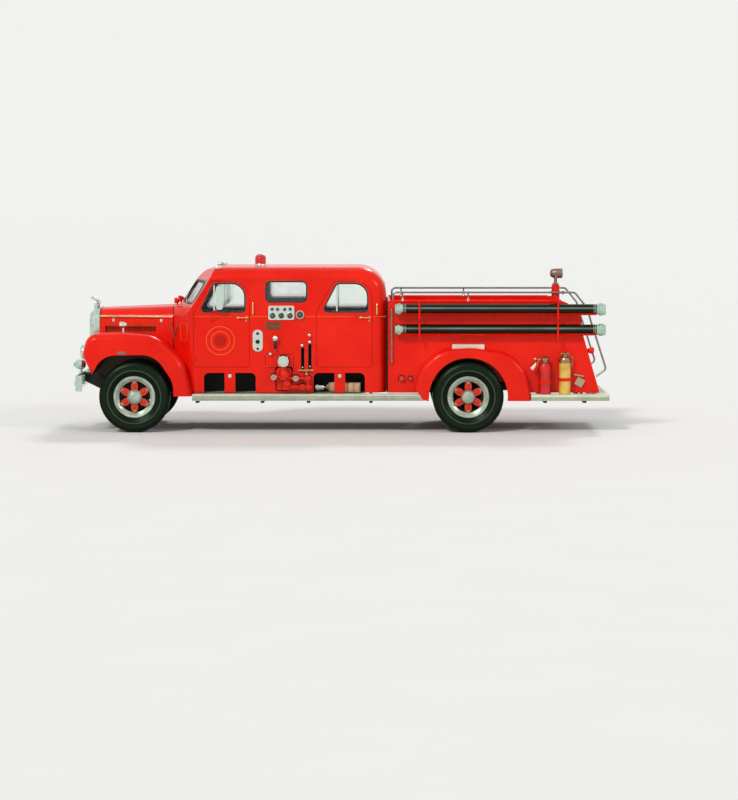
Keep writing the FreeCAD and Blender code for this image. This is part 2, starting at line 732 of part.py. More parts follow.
def frame_rails():
    """Two straight channel rails, open inwards, with a hole for the pump's side pipes."""
    web = box(RAIL_X, (-RAIL_OUT_Y, -WEB_IN), RAIL_Z)
    flanges = []
    for low, high in ((RAIL_Z[0], RAIL_Z[0] + RAIL_WEB), (RAIL_Z[1] - RAIL_WEB, RAIL_Z[1])):
        flanges.append(box(RAIL_X, (-RAIL_OUT_Y, -FLANGE_IN), (low, high)))
    x, z, r = FEED
    hole = rod((x, -500, z), (x, -350, z), r + 3)
    taper = side_prism([(-830, 600, 0), (-540, 600, 0), (-830, 745, 0)], 300, 500)
    return both(cut(fuse([web] + flanges), hole, taper))


def frame_members():
    """Cross-members, cab and bed beams, spring hangers and the running boards' brackets."""
    pieces = []
    for x, low, high, half in CROSS_MEMBERS:
        pieces.append(box((x - 40, x + 40), (-half, half), (low, high)))
    for x in CAB_BEAMS:
        pieces.append(box((x - 40, x + 40), (-590, 590), (RAIL_Z[1], FLOOR_Z[0])))
    for x in BED_BEAMS:
        pieces.append(box((x - 30, x + 30), (BED_WALL - BED_HALF, BED_HALF - BED_WALL), (RAIL_Z[1], 900)))
    sides = []
    for x in SPRING_EYES_REAR:
        sides.append(box((x - 35, x + 35), (-535, -RAIL_OUT_Y), (EYE_TOP_REAR, 790)))
    for x in BOARD_BRACKETS:
        leg = box((x - 25, x + 25), (-RAIL_OUT_Y - 14, -RAIL_OUT_Y), (BOARD_LOW - 35, RAIL_Z[1] - 5))
        arm = box((x - 25, x + 25), (-1150, -RAIL_OUT_Y), (BOARD_LOW - 35, BOARD_LOW))
        sides.append(fuse([leg, arm]))
    return Part.makeCompound(pieces + [both(p) for p in sides])


def spring(x0, half, foot, arch, leaves, y):
    """A leaf spring: arched leaves, each shorter than the one above, with eyes at the ends."""
    pieces = []
    for i in range(leaves):
        reach = half * (1 - 0.13 * (leaves - 1 - i))
        t = 12.0
        low = foot + i * t
        rise = arch * (reach / half) ** 2
        left, right = x0 - reach, x0 + reach
        a, b = V(left, y[0], low + rise), V(right, y[0], low + rise)
        c, d = V(right, y[0], low + rise + t), V(left, y[0], low + rise + t)
        sides = [
            Part.Arc(a, V(x0, y[0], low), b),
            Part.LineSegment(b, c),
            Part.Arc(c, V(x0, y[0], low + t), d),
            Part.LineSegment(d, a),
        ]
        face = Part.Face(Part.Wire([g.toShape() for g in sides]))
        pieces.append(face.extrude(V(0, y[1] - y[0], 0)))
    top = foot + (leaves - 0.5) * 12.0 + arch
    for side in (-1, 1):
        pieces.append(rod((x0 + side * half, y[0], top), (x0 + side * half, y[1], top), 18))
    pieces.append(box((x0 - 60, x0 + 60), y, (foot, foot + leaves * 12.0 + 14)))
    return fuse(pieces)


def leaf_springs():
    front = spring(0, 560, 520, 40, 4, (-430, -350))
    rear = spring(WHEELBASE, 640, 611, 22, 5, (-530, -450))
    return Part.makeCompound([front, mirrored(front), rear, mirrored(rear)])


AXLE_I = (430.0, 520.0)       # the front beam, bottom and top


def front_axle():
    """A forged I-beam with an eye at each end for the kingpin."""
    beam = box((-45, 45), (-KINGPIN_Y + 20, KINGPIN_Y - 20), AXLE_I)
    for side in (-1, 1):
        x = sorted((side * 14, side * 60))
        beam = cut(beam, box(x, (-KINGPIN_Y + 90, KINGPIN_Y - 90), (AXLE_I[0] + 22, AXLE_I[1] - 22)))
    ends = [rod((0, s * KINGPIN_Y, 490), (0, s * KINGPIN_Y, 592), 42) for s in (-1, 1)]
    for side in (-1, 1):
        y = sorted((side * (KINGPIN_Y - 120), side * KINGPIN_Y))
        ends.append(box((-38, 38), y, (490, 580)))
    beam = fuse([beam] + ends)
    for side in (-1, 1):
        y = sorted((side * (KINGPIN_Y - 100), side * (KINGPIN_Y + 60)))
        beam = cut(beam, box((-60, 60), y, (400, 490)))
        beam = cut(beam, rod((0, side * KINGPIN_Y, 400), (0, side * KINGPIN_Y, 700), KINGPIN_R + RUNNING))
    return beam.removeSplitter()


YOKE_Y = (925.0, 945.0)


def knuckle():
    """The left steering knuckle: kingpin, fork, spindle and steering arm in one."""
    y = -KINGPIN_Y
    pin = rod((0, y, 440), (0, y, 642), KINGPIN_R)
    plate = box((-55, 55), (-YOKE_Y[1], -YOKE_Y[0]), (440, 642))
    prongs = [box((-40, 40), (-YOKE_Y[1], y + 34), z) for z in ((440, 484), (598, 642))]
    spindle = rod((0, -YOKE_Y[0], AXLE_Z), (0, -1080, AXLE_Z), SPINDLE_R)
    corners = [(20, y - 10, 0), (20, y + 30, 0), (STEER_ARM, y + 92, 0), (STEER_ARM, y + 52, 0)]
    arm = prism(corners, "XY", 440, 466)
    end = rod((STEER_ARM, -STEER_ARM_Y, 436), (STEER_ARM, -STEER_ARM_Y, 466), 26)
    return fuse([pin, plate, spindle, arm, end] + prongs)


def tie_rod():
    """A bar with a ball at each end, below the steering arms."""
    bar = rod((STEER_ARM, -STEER_ARM_Y, TIE_ROD_Z), (STEER_ARM, STEER_ARM_Y, TIE_ROD_Z), 15)
    ends = [ball((STEER_ARM, s * STEER_ARM_Y, TIE_ROD_Z), 19) for s in (-1, 1)]
    return fuse([bar] + ends)


def rear_axle():
    """A banjo axle with its spindles and the shaft from the pump."""
    housing = rod((WHEELBASE, -560, AXLE_Z), (WHEELBASE, 560, AXLE_Z), 70)
    spindles = rod((WHEELBASE, -1000, AXLE_Z), (WHEELBASE, 1000, AXLE_Z), 60)
    case = ball((WHEELBASE, 0, AXLE_Z), 205)
    nose = Part.makeCone(120, 60, 260, V(WHEELBASE - 120, 0, AXLE_Z), V(-1, 0, 0.08))
    shaft = rod((WHEELBASE - 360, 0, AXLE_Z + 18), (2570, 0, 700), 42)
    return fuse([housing, spindles, case, nose, shaft])


def powertrain():
    """Engine and gearbox as plain blocks at their real size, and the shaft to the pump."""
    engine = box((-430, 480), (-290, 290), (640, 1380))
    cover = prism([(-230, 1370, 0), (-230, 1470, 40), (230, 1470, 40), (230, 1370, 0)], "YZ", -380, 440)
    fan = rod((-560, 0, 1120), (-430, 0, 1120), 60)
    blades = rod((-560, 0, 1120), (-530, 0, 1120), 230)
    gearbox = box((470, 960), (-165, 165), (690, 940))
    shaft = rod((950, 0, 760), (2049, 0, 742), 42)
    return fuse([engine, cover, fan, blades, gearbox, shaft])


def fire_pump():
    """The pump between the rails, its intake pipes and the castings outside the skirts."""
    x, z, r = INTAKE
    body = box((2050, 2550), (-340, 340), (600, 900))
    pieces = [
        rod((x, -990, FEED[1]), (x, -330, FEED[1]), FEED[2]),
        rod((x, -1085, z), (x, -925, z), r),
    ]
    foot = [(2165, 640, 30), (2150, 985, 60), (2393, 985, 60), (2378, 640, 30)]
    outside = [prism(foot, "XZ", -1012, -CAB_HALF - 2), rod((x, -1032, z), (x, -1032, 900), 52)]
    for bx, bz, br in BULGES:
        outside.append(ball((bx, -1016, bz), br))
        outside.append(rod((bx, -1016, bz), (bx - 20, -1016, bz - 80), br - 12))
    outside.append(rod((2640, -1030, 650), (2640, -1030, 820), 34))
    outside.append(rod((x, -1030, 686), (2696, -1030, 686), 40))
    for ox, oz, orad in OUTLETS:
        outside.append(rod((ox, -1085, oz), (ox, -CAB_HALF, oz), orad))
        outside.append(rod((ox, -1020, oz), (x, -1020, oz), 26))
    for fx, fz in FLANGES:
        outside.append(rod((fx, -1110, fz), (fx, -1020, fz), 34))
        outside.append(rod((fx, -1092, fz), (fx, -1070, fz), 52))
        outside.append(rod((fx, -1035, fz), (x, -1035, fz), 30))
    skirt = box((1900, 2900), (-CAB_HALF - 1, -900), (600, 1200))
    side = fuse(pieces + [cut(fuse(outside), skirt)])
    return fuse([body, side, mirrored(side)])


# ---------------------------------------------------------------- wheels
RIM_Y = 112.0                 # half width over a rim's flanges
SPIDER_R = 237.0              # tips of the spokes, inside the rim
TREAD_Y = 104.0               # half width of the tread
SHOULDER_R = 522.0
SEAT_R = 296.0                # tyre seat on the rim


def rim(y):
    """A rolled rim: seat, two flanges and the band that the spokes clamp."""
    profile = [
        (SPIDER_R, -52), (SPIDER_R, 46), (278, 70), (278, RIM_Y - 8), (RIM_R - 8, RIM_Y),
        (RIM_R, RIM_Y - 6), (SEAT_R, RIM_Y - 14), (SEAT_R, -RIM_Y + 14), (RIM_R, -RIM_Y + 6),
        (RIM_R - 8, -RIM_Y), (278, -RIM_Y + 8), (278, -66),
    ]
    return turned(profile, y)


def tyre(y, x0=0.0):
    """A tyre on its seat, with rounded walls and a tread with three grooves."""
    bead = RIM_Y - 15
    side = [
        Part.LineSegment(V(x0 + SEAT_R + 0.3, y - bead, AXLE_Z), V(x0 + RIM_R + 2, y - bead, AXLE_Z)),
        Part.Arc(
            V(x0 + RIM_R + 2, y - bead, AXLE_Z),
            V(x0 + 425, y - TYRE_W / 2, AXLE_Z),
            V(x0 + SHOULDER_R, y - TREAD_Y - 12, AXLE_Z),
        ),
    ]
    points = [(SHOULDER_R, -TREAD_Y - 12), (TYRE_R - 2, -TREAD_Y)]
    for centre in (-52, 0, 52):
        points += [(TYRE_R, centre - 6), (TYRE_R - 12, centre - 4)]
        points += [(TYRE_R - 12, centre + 4), (TYRE_R, centre + 6)]
    points += [(TYRE_R - 2, TREAD_Y), (SHOULDER_R, TREAD_Y + 12)]
    for (r0, y0), (r1, y1) in zip(points, points[1:]):
        side.append(Part.LineSegment(V(x0 + r0, y + y0, AXLE_Z), V(x0 + r1, y + y1, AXLE_Z)))
    side += [
        Part.Arc(
            V(x0 + SHOULDER_R, y + TREAD_Y + 12, AXLE_Z),
            V(x0 + 425, y + TYRE_W / 2, AXLE_Z),
            V(x0 + RIM_R + 2, y + bead, AXLE_Z),
        ),
        Part.LineSegment(V(x0 + RIM_R + 2, y + bead, AXLE_Z), V(x0 + SEAT_R + 0.3, y + bead, AXLE_Z)),
        Part.LineSegment(V(x0 + SEAT_R + 0.3, y + bead, AXLE_Z), V(x0 + SEAT_R + 0.3, y - bead, AXLE_Z)),
    ]
    face = Part.Face(Part.Wire([s.toShape() for s in side]))
    return face.revolve(V(x0, y, AXLE_Z), V(0, 1, 0), 360)


def spokes(y0, y1, x0=0.0):
    """Six cast spokes between hub and rim, from plane y0 to y1."""
    arms = []
    for i in range(6):
        corners = [(60, -44, 0), (60, 44, 0), (SPIDER_R + 3, 34, 8), (SPIDER_R + 3, -34, 8)]
        arm = prism(corners, "XZ", y0, y1)
        arm.rotate(V(0, 0, 0), V(0, 1, 0), 60 * i + 30)
        arm.translate(V(x0, 0, AXLE_Z))
        arms.append(arm)
    return arms


def front_wheel():
    """Left front: hub, brake drum, six-spoke spider and rim, bored for the spindle."""
    y = -FRONT_TRACK_Y
    bore = SPINDLE_R + RUNNING
    hub = turned([(bore, -952), (95, -952), (112, -1040), (112, -1082), (bore, -1082)], 0)
    cap = turned([(0, -1081), (112, -1081), (112, -1092), (84, -1120), (40, -1132), (0, -1134)], 0)
    drum = turned([(60, -952), (205, -952), (205, -992), (190, -992), (190, -962), (60, -962)], 0)
    body = fuse([hub, cap, drum, rim_at(y, 0.0)] + spokes(-1062, -1022))
    return body


def rim_at(y, x0):
    piece = rim(0.0)
    if y < 0:
        piece = mirrored(piece)
    piece.translate(V(x0, y, 0))
    return piece


def rear_wheel():
    """Left rear: one hub and spider that carry both rims, with the spacer band between them."""
    x0 = WHEELBASE
    bore = 60.0 + RUNNING
    hub = turned([(bore, -600), (112, -600), (130, -700), (112, -1090), (bore, -1090)], 0, x0)
    cap = turned([(0, -1089), (112, -1089), (112, -1102), (84, -1138), (40, -1150), (0, -1152)], 0, x0)
    drum = turned([(90, -604), (215, -604), (215, -760), (200, -760), (200, -616), (90, -616)], 0, x0)
    band = turned([(SPIDER_R, -755), (SPIDER_R + 14, -755), (SPIDER_R + 14, -990), (SPIDER_R, -990)], 0, x0)
    inner = rim(0.0)
    inner.translate(V(x0, -DUAL_INNER_Y, 0))
    outer = rim_at(-DUAL_OUTER_Y, x0)
    return fuse([hub, cap, drum, band, inner, outer] + spokes(-1082, -1036, x0))


def rear_tyres():
    return Part.makeCompound([tyre(-DUAL_INNER_Y, WHEELBASE), tyre(-DUAL_OUTER_Y, WHEELBASE)])


# ---------------------------------------------------------------- front end and lamps
def front_bumper():
    """A deep pressed bumper whose ends curve back, with a rolled ridge."""
    bar = [
        (-895, -1185, 70), (-895, 1185, 70), (-790, 1185, 0), (-790, 1161, 0),
        (-868, 1161, 46), (-868, -1161, 46), (-790, -1161, 0), (-790, -1185, 0),
    ]
    form = prism(bar, "XY", 632, 868)
    ridge = prism([(-905, -1120, 0), (-905, 1120, 0), (-880, 1120, 0), (-880, -1120, 0)], "XY", 712, 788)
    horns = []
    for side in (-1, 1):
        y = sorted((side * RAIL_OUT_Y, side * (RAIL_OUT_Y - RAIL_FLANGE)))
        horns.append(box((-869, RAIL_X[0]), y, (690, 830)))
    return fuse([form, ridge] + horns)


SIREN_Y = -560.0


def siren():
    """A bullet siren on a pedestal from the bumper's top."""
    profile = [(0, -985), (25, -983), (25, -965), (58, -945), (75, -905)]
    profile += [(75, -850), (60, -812), (30, -795), (0, -790)]
    horn = lengthwise(profile, SIREN_Y, 1005.0)
    post = rod((-865, SIREN_Y, 868), (-865, SIREN_Y, 960), 22)
    foot = rod((-865, SIREN_Y, 868), (-865, SIREN_Y, 880), 34)
    return fuse([horn, foot.common(box((-895, -830), (-700, -400), (860, 900))), post])


def bullet(x, y, z, length, r):
    """A lamp body along x with a domed front, its lens end first."""
    profile = [(0, -0.08), (0.8, 0.0), (1, 0.1), (1, 0.3), (0.8, 0.66), (0.45, 0.9), (0, 1)]
    return lengthwise([(r * f, x + length * t) for f, t in profile], y, z)


def headlamps():
    """A round bucket with a domed glass in the nose of each front fender."""
    x = -812.0
    bucket = rod((x, -HEADLAMP_Y, HEADLAMP_Z), (-700, -HEADLAMP_Y, HEADLAMP_Z), HEADLAMP_R)
    dome = ball((x + 130, -HEADLAMP_Y, HEADLAMP_Z), 158)
    dome = dome.common(rod((x - 60, -HEADLAMP_Y, HEADLAMP_Z), (x + 10, -HEADLAMP_Y, HEADLAMP_Z), 90))
    return both(fuse([bucket, dome]))


# Lamps that stand on the body: x of the lens, |y|, z, length, radius, foot z
MARKERS = [
    (-232.0, 900.0, 1628.0, 118.0, 50.0, 1500.0),
    (572.0, 420.0, 1984.0, 96.0, 44.0, 1880.0),
    (1238.0, 850.0, 2506.0, 96.0, 42.0, 2440.0),
    (1236.0, 250.0, 2540.0, 60.0, 26.0, 2480.0),
]


def marker_lamps():
    """Bullet lamps on short stems that stand on the fenders, the scuttle and the roof."""
    body = [fender_form(), cab_forms()[0]]
    lamps = []
    for x, y, z, length, r, foot in MARKERS:
        stem = rod((x + length * 0.45, -y, foot), (x + length * 0.45, -y, z), 14)
        lamps.append(both(cut(fuse([bullet(x, -y, z, length, r), stem]), *body)))
    return Part.makeCompound(lamps)


def tail_lamps():
    """Round tail lamps on short arms at the rear corners of the body."""
    lamp = bullet(7000, -905, 1240, -110, 52)
    arm = rod((6870, -905, 1240), (6930, -905, 1240), 20)
    return both(cut(fuse([lamp, arm]), tail_panel()))


def beacon():
    """A domed beacon on the roof's centre line."""
    profile = [(0, 2500), (92, 2500), (92, 2526), (85, 2534), (85, 2640), (70, 2668), (40, 2686), (0, 2690)]
    return cut(upright(profile, 1881.0, 0.0), upper_form(0))


def mirror():
    """The left mirror: a tall head on two arms from the door."""
    head = side_prism([(1252, 1872, 40), (1252, 2232, 40), (1355, 2232, 40), (1355, 1872, 40)], 1106, 1132)
    arms = [
        rod((1150, -CAB_HALF + 2, 1664), (1290, -1112, 1900), 8),
        rod((1168, -UPPER_HALF + 2, 1815), (1290, -1112, 1900), 8),
        rod((1290, -1112, 1890), (1290, -1112, 2210), 8),
    ]
    return off_skin(fuse([head] + arms))


# ---------------------------------------------------------------- panel between the doors
def on_skin(x, z, r, proud):
    """A round fitting against the cab's side, at any height."""
    return rod((x, -CAB_HALF - proud, z), (x, -UPPER_HALF + 12, z), r)


GAUGES_LARGE = [(2104.0, 1776.0), (2236.0, 1776.0), (2368.0, 1776.0)]
GAUGES_SMALL = [(2096.0, 1876.0), (2180.0, 1872.0), (2288.0, 1872.0), (2372.0, 1876.0)]
GAUGE_PLATE = [(2038.0, 1712.0, 28), (2038.0, 1926.0, 28), (2433.0, 1926.0, 28), (2433.0, 1712.0, 28)]
KNOB_PLATE = [(1799.0, 1230.0, 70), (1799.0, 1560.0, 70), (1951.0, 1560.0, 70), (1951.0, 1230.0, 70)]
KNOBS = [(1504.0, 20.0), (1379.0, 30.0), (1273.0, 18.0)]        # z, radius
THROTTLE = (2143.0, -1036.0, 1432.0)
SKIRT_FORM = ((0, 4000), (-CAB_HALF, CAB_HALF), (500, BELT_Z))
UPPER_SKIN = ((0, 4000), (-UPPER_HALF, UPPER_HALF), (BELT_Z - 100, 2500))


def off_skin(piece):
    """What stands outside the cab's side."""
    return cut(piece, box(*SKIRT_FORM), box(*UPPER_SKIN))


def panel_chrome(left):
    """Bright fittings of the pump panel; the gauges are on the left side only."""
    x, z, r = INTAKE
    intake = fuse([rod((x, -1130, z), (x, -1086, z), r + 9), rod((x, -1138, z), (x, -1120, z), 52)])
    pieces = [intake]
    for ox, oz, orad in OUTLETS:
        pieces.append(rod((ox, -1122, oz), (ox, -1086, oz), orad + 8))
    x, y, z = THROTTLE
    grip = rod((x, y, z - 40), (x, y, 1262), 15)
    pieces.append(fuse([ball(THROTTLE, 50), rod(THROTTLE, (x, -CAB_HALF, z), 24), grip]))
    for kx, kz in ((2067, 1193), (2550, 1323), (2667, 1374), (2661, 1479)):
        pieces.append(fuse([ball((kx, -1030, kz), 27), rod((kx, -1030, kz), (kx, -CAB_HALF, kz), 11)]))
    if not left:
        return Part.makeCompound([mirrored(p) for p in pieces])
    plate = off_skin(side_prism(GAUGE_PLATE, 950, 1004))
    dials = [rod((gx, -1014, gz), (gx, -1000, gz), 46) for gx, gz in GAUGES_LARGE]
    dials += [rod((gx, -1012, gz), (gx, -1000, gz), 27) for gx, gz in GAUGES_SMALL]
    pieces.append(fuse([plate] + dials))
    pieces.append(off_skin(on_skin(2520, 1790, 64, 34)))
    for low, high in ((1560, 1612), (1627, 1679)):
        pieces.append(box((1990, 2226), (-CAB_HALF - 5, -CAB_HALF), (low, high)))
    knobs = [rod((1875, -1026, kz), (1875, -CAB_HALF - 8, kz), kr) for kz, kr in KNOBS]
    pieces.append(fuse([side_prism(KNOB_PLATE, CAB_HALF, CAB_HALF + 9)] + knobs))
    return Part.makeCompound(pieces)


def panel_levers():
    """Gate levers that reach out of their slots, linked by a crosspiece with a pendant ball."""
    levers = [rod((x, -972, low + 22), (x, -1012, low + 40), 9) for x, low, _ in GATE_SLOTS]
    cross = rod((2500, -1012, 942), (2722, -1012, 942), 15)
    pendant = [rod((2615, -1012, 942), (2615, -1012, 888), 12), ball((2615, -1012, 880), 26)]
    return both(fuse(levers + [cross] + pendant))


# ---------------------------------------------------------------- hose body
BED_SIDE = [                  # (x, z, corner radius)
    (BED_FRONT, 600.0, 0),
    (BED_FRONT, BED_TOP, 25),
    (6560.0, BED_TOP, 260),
    (6790.0, 1790.0, 200),
    (6836.0, 1460.0, 300),
    (7081.0, 620.0, 0),
    (7081.0, 600.0, 0),
]
ARCH_R = 640.0                # wheel opening in the body's side
TAIL_SLOPE = (7081.0 - 6836.0) / (1460.0 - 620.0)
TROUGH_X = (4056.0, 7016.0)
STRAP_X = [4334.0, 6434.0]
DISCHARGES = [(4067.0, 820.0, 42.0), (4202.0, 820.0, 32.0)]     # x, z, radius


def tail_panel():
    """The sloping rear panel between the bed's sides."""
    inner = BED_HALF - BED_WALL + 2
    x = 6836 + (1460 - BED_FLOOR_Z) * TAIL_SLOPE
    corners = [(x - 12, BED_FLOOR_Z, 0), (7069, 620, 0), (7039, 620, 0), (x - 42, BED_FLOOR_Z, 0)]
    return prism(corners, "XZ", -inner, inner)


def rolled_edge():
    """The rolled top edge of the bed's left side."""
    y, z = 12 - BED_HALF, BED_TOP - 8
    return rod((BED_FRONT + 16, y, z), (6420, y, z), 20)


def hose_body():
    """Open-topped bed: sides, bulkhead, slatted floor, sloping tail and wheelhouses."""
    side = prism(BED_SIDE, "XZ", -BED_HALF, -BED_HALF + BED_WALL)
    side = cut(side, rod((WHEELBASE, -1100, AXLE_Z), (WHEELBASE, -900, AXLE_Z), ARCH_R))
    for x, z, r in DISCHARGES:
        side = cut(side, rod((x, -1100, z), (x, -900, z), r - 6))
    house = cut(
        rod((WHEELBASE, -BED_HALF + 10, AXLE_Z), (WHEELBASE, -545, AXLE_Z), ARCH_R + 12),
        rod((WHEELBASE, -1100, AXLE_Z), (WHEELBASE, -557, AXLE_Z), ARCH_R),
    )
    house = house.common(box((4000, 6200), (-1100, -500), (740, 1345)))
    rolled = rolled_edge()
    inner = BED_HALF - BED_WALL + 2
    bulkhead = box((BED_FRONT, BED_FRONT + BED_WALL), (-inner, inner), (600, BED_TOP))
    tail_x = 6836 + (1460 - BED_FLOOR_Z) * TAIL_SLOPE
    floor = box((BED_FRONT + 5, tail_x - 20), (-inner, inner), (BED_FLOOR_Z - 20, BED_FLOOR_Z))
    slats = []
    for i in range(13):
        y = -900 + i * 150
        z = (BED_FLOOR_Z - 2, BED_FLOOR_Z + 14)
        slats.append(box((BED_FRONT + 5, tail_x - 30), (y - 45, y + 45), z))
    halves = [side, house, rolled]
    whole = fuse(halves + [mirrored(p) for p in halves] + [bulkhead, tail_panel(), floor] + slats)
    notch = box((3700, 3910), (-470, 470), (500, 905))
    tail_notch = box((6900, 7200), (-450, 450), (500, 880))
    return cut(whole, notch, tail_notch)


REAR_FENDER = [
    (4455.0, 487.0, 0),
    (4385.0, 512.0, 0),
    (4260.0, 690.0, 0),
    (4350.0, 1000.0, 420),
    (4640.0, 1268.0, 520),
    (5150.0, 1292.0, 900),
    (5720.0, 1210.0, 520),
    (5955.0, 950.0, 420),
    (6026.0, 620.0, 0),
    (6026.0, 487.0, 0),
]
REAR_FENDER_Y = (1000.0, 1200.0)
REAR_ARCH_R = 604.0
REAR_FOOT_Z = 692.0           # the outer rim is not rounded below this


def rear_fender_form(skin=0.0):
    """A rear fender (left) as a closed form, or its inside when skin is given."""
    wire = inset(outline(REAR_FENDER, "XZ", -REAR_FENDER_Y[1] + skin), skin)
    form = extrude(wire, "XZ", REAR_FENDER_Y[1] - skin - REAR_FENDER_Y[0])
    return round_rim(form, -REAR_FENDER_Y[1] + skin, 90 - skin, REAR_FOOT_Z)


def rear_fender():
    """The left rear fender: a pressed skin, open round the twin wheels."""
    arch = rod((WHEELBASE, -1300, AXLE_Z), (WHEELBASE, -900, AXLE_Z), REAR_ARCH_R)
    half = REAR_ARCH_R - 8
    below = box((WHEELBASE - half, WHEELBASE + half), (-1300, -900), (400, AXLE_Z))
    return cut(rear_fender_form(), rear_fender_form(20.0), fuse([arch, below]))


def edge_lipped(corners):
    """A tread plate: a deck 12 thick with a deep lip round its edge."""
    wire = outline(corners, "XY", BOARD_LOW)
    deck = extrude(wire, "XY", BOARD_Z - BOARD_LOW)
    hollow = extrude(inset(outline(corners, "XY", BOARD_LOW - 5), 12), "XY", BOARD_Z - BOARD_LOW - 7)
    return cut(deck, hollow)


def running_boards():
    """The left running board, from the front fender to the rear one."""
    board = edge_lipped([(884, -1190, 0), (884, -940, 0), (4440, -940, 0), (4440, -1190, 0)])
    wheel = rod((WHEELBASE, -1300, AXLE_Z), (WHEELBASE, -900, AXLE_Z), ARCH_R + 20)
    return cut(board, fender_form(), rear_fender_form(), wheel)


def tailboard():
    """The rear step, with arms that reach forward to the rear fenders."""
    corners = [
        (6032, -1200, 0), (7225, -1200, 60), (7225, 1200, 60), (6032, 1200, 0),
        (6032, 985, 0), (6985, 985, 0), (6985, -985, 0), (6032, -985, 0),
    ]
    return edge_lipped(corners)


def fender_steps():
    """Cream step pads on the rear fenders' crowns."""
    corners = [(4836, 1240, 0), (4836, 1342, 14), (5324, 1342, 14), (5324, 1240, 0)]
    pad = prism(corners, "XZ", -1085, -BED_HALF)
    return cut(pad, rear_fender_form())


# ---------------------------------------------------------------- along the hose body
def suction_hoses():
    x0, x1 = HOSE_X
    return Part.makeCompound([rod((x0, -HOSE_Y, z), (x1, -HOSE_Y, z), HOSE_R) for z in HOSE_Z])


def coupling(x0, x1, r, z):
    """A lugged coupling on a hose's end."""
    mid = (x0 + x1) / 2
    pieces = [
        rod((x0, -HOSE_Y, z), (x1, -HOSE_Y, z), r * 0.86),
        rod((mid - 26, -HOSE_Y, z), (mid + 26, -HOSE_Y, z), r),
    ]
    for turn in (45, 135, 225, 315):
        a = math.radians(turn)
        dy, dz = math.cos(a), math.sin(a)
        lug = rod((mid, -HOSE_Y, z), (mid, -HOSE_Y + dy * (r + 10), z + dz * (r + 10)), 11)
        pieces.append(lug)
    return fuse(pieces)


def suction_couplings():
    pieces = []
    for z in HOSE_Z:
        pieces.append(coupling(3966, HOSE_X[0], 88, z))
        pieces.append(coupling(HOSE_X[1], 7160, 98, z))
    return Part.makeCompound(pieces)


def hose_troughs():
    """Troughs that carry the suction hoses, their brackets and the hold-down straps."""
    racks = []
    for z in HOSE_Z:
        cradle = cut(
            rod((TROUGH_X[0], -HOSE_Y, z), (TROUGH_X[1], -HOSE_Y, z), HOSE_R + 14),
            rod((TROUGH_X[0] - 5, -HOSE_Y, z), (TROUGH_X[1] + 5, -HOSE_Y, z), HOSE_R + 1),
        )
        cradle = cradle.common(box((4000, 7100), (-1300, -900), (z - 120, z - 58)))
        pieces = [cradle]
        for x in STRAP_X + [5384.0]:
            pieces.append(box((x - 22, x + 22), (-HOSE_Y, -BED_HALF), (z - 108, z - 84)))
        for x in STRAP_X:
            y = -HOSE_Y - HOSE_R - 14
            pieces.append(box((x - 12, x + 12), (y, y + 10), (z - 150, z + 106)))
            pieces.append(box((x - 12, x + 12), (y, -BED_HALF), (z + 96, z + 106)))
            pieces.append(box((x - 12, x + 12), (y, y + 60), (z - 108, z - 84)))
        racks.append(cut(fuse(pieces), rolled_edge()))
    return Part.makeCompound(racks)


LADDER_X = (3960.0, 6440.0)
LADDERS = [(1035.0, 1510.0, 1950.0), (1108.0, 1545.0, 1915.0)]   # |y|, lower and upper rail z


def ladders():
    """Two ladders on edge, nested side by side on the right."""
    found = []
    for i, (y, low, high) in enumerate(LADDERS):
        x0, x1 = LADDER_X[0] + 120 * i, LADDER_X[1] - 90 * i
        rails = [box((x0, x1), (y - 15, y + 15), (z - 34, z + 34)) for z in (low, high)]
        count = 8
        rungs = []
        for k in range(count):
            x = x0 + 170 + k * (x1 - x0 - 340) / (count - 1)
            rungs.append(rod((x, y, low), (x, y, high), 15))
        found.append(fuse(rails + rungs))
    return Part.makeCompound(found)


def ladder_hangers():
    """Brackets that hold both ladders against the right side, hooked over the rolled edge."""
    hangers = []
    for x in (4500.0, 6100.0):
        shelf = box((x - 20, x + 20), (BED_HALF, 1140), (1458, 1472))
        back = box((x - 20, x + 20), (BED_HALF, 1012), (1458, 2001))
        lip = box((x - 20, x + 20), (1130, 1140), (1458, 1530))
        hook = box((x - 20, x + 20), (BED_HALF, 1140), (1988, 2000))
        drop = box((x - 20, x + 20), (1130, 1140), (1900, 2000))
        hangers.append(cut(fuse([shelf, back, lip, hook, drop]), mirrored(rolled_edge())))
    return Part.makeCompound(hangers)


RAIL_Y, RAIL_TOP = 985.0, 2129.0      # handrails


def handrails():
    """Rails over the sides of the bed that sweep down behind the tail, stanchions and grabs."""
    top = RAIL_TOP
    points = [
        (3933, -RAIL_Y, BED_TOP - 10), (3933, -RAIL_Y, top), (6700, -RAIL_Y, top), (6885, -RAIL_Y, 1900),
        (6955, -RAIL_Y, 1670), (7185, -RAIL_Y, 960), (7030, -RAIL_Y, 850),
    ]
    rail = tube(points, 15, 60)
    posts = []
    for x in (4082.0, 5079.0):
        posts.append(rod((x, -RAIL_Y, BED_TOP - 5), (x, -RAIL_Y, top), 11))
        posts.append(Part.makeCone(30, 12, 46, V(x, -RAIL_Y, BED_TOP - 2)))
        posts.append(ball((x, -RAIL_Y, top), 22))
    collar = rod((MAST_X + 90, -RAIL_Y, top), (MAST_X + 130, -RAIL_Y, top), 26)
    grab = grab_handle(3916.0, (1045.0, 1880.0), BED_HALF, 12.0)
    side = prism(BED_SIDE, "XZ", -BED_HALF, BED_WALL - BED_HALF)
    body = [side, rolled_edge(), tail_panel()]
    return Part.makeCompound([both(cut(p, *body)) for p in (fuse([rail, collar] + posts), grab)])


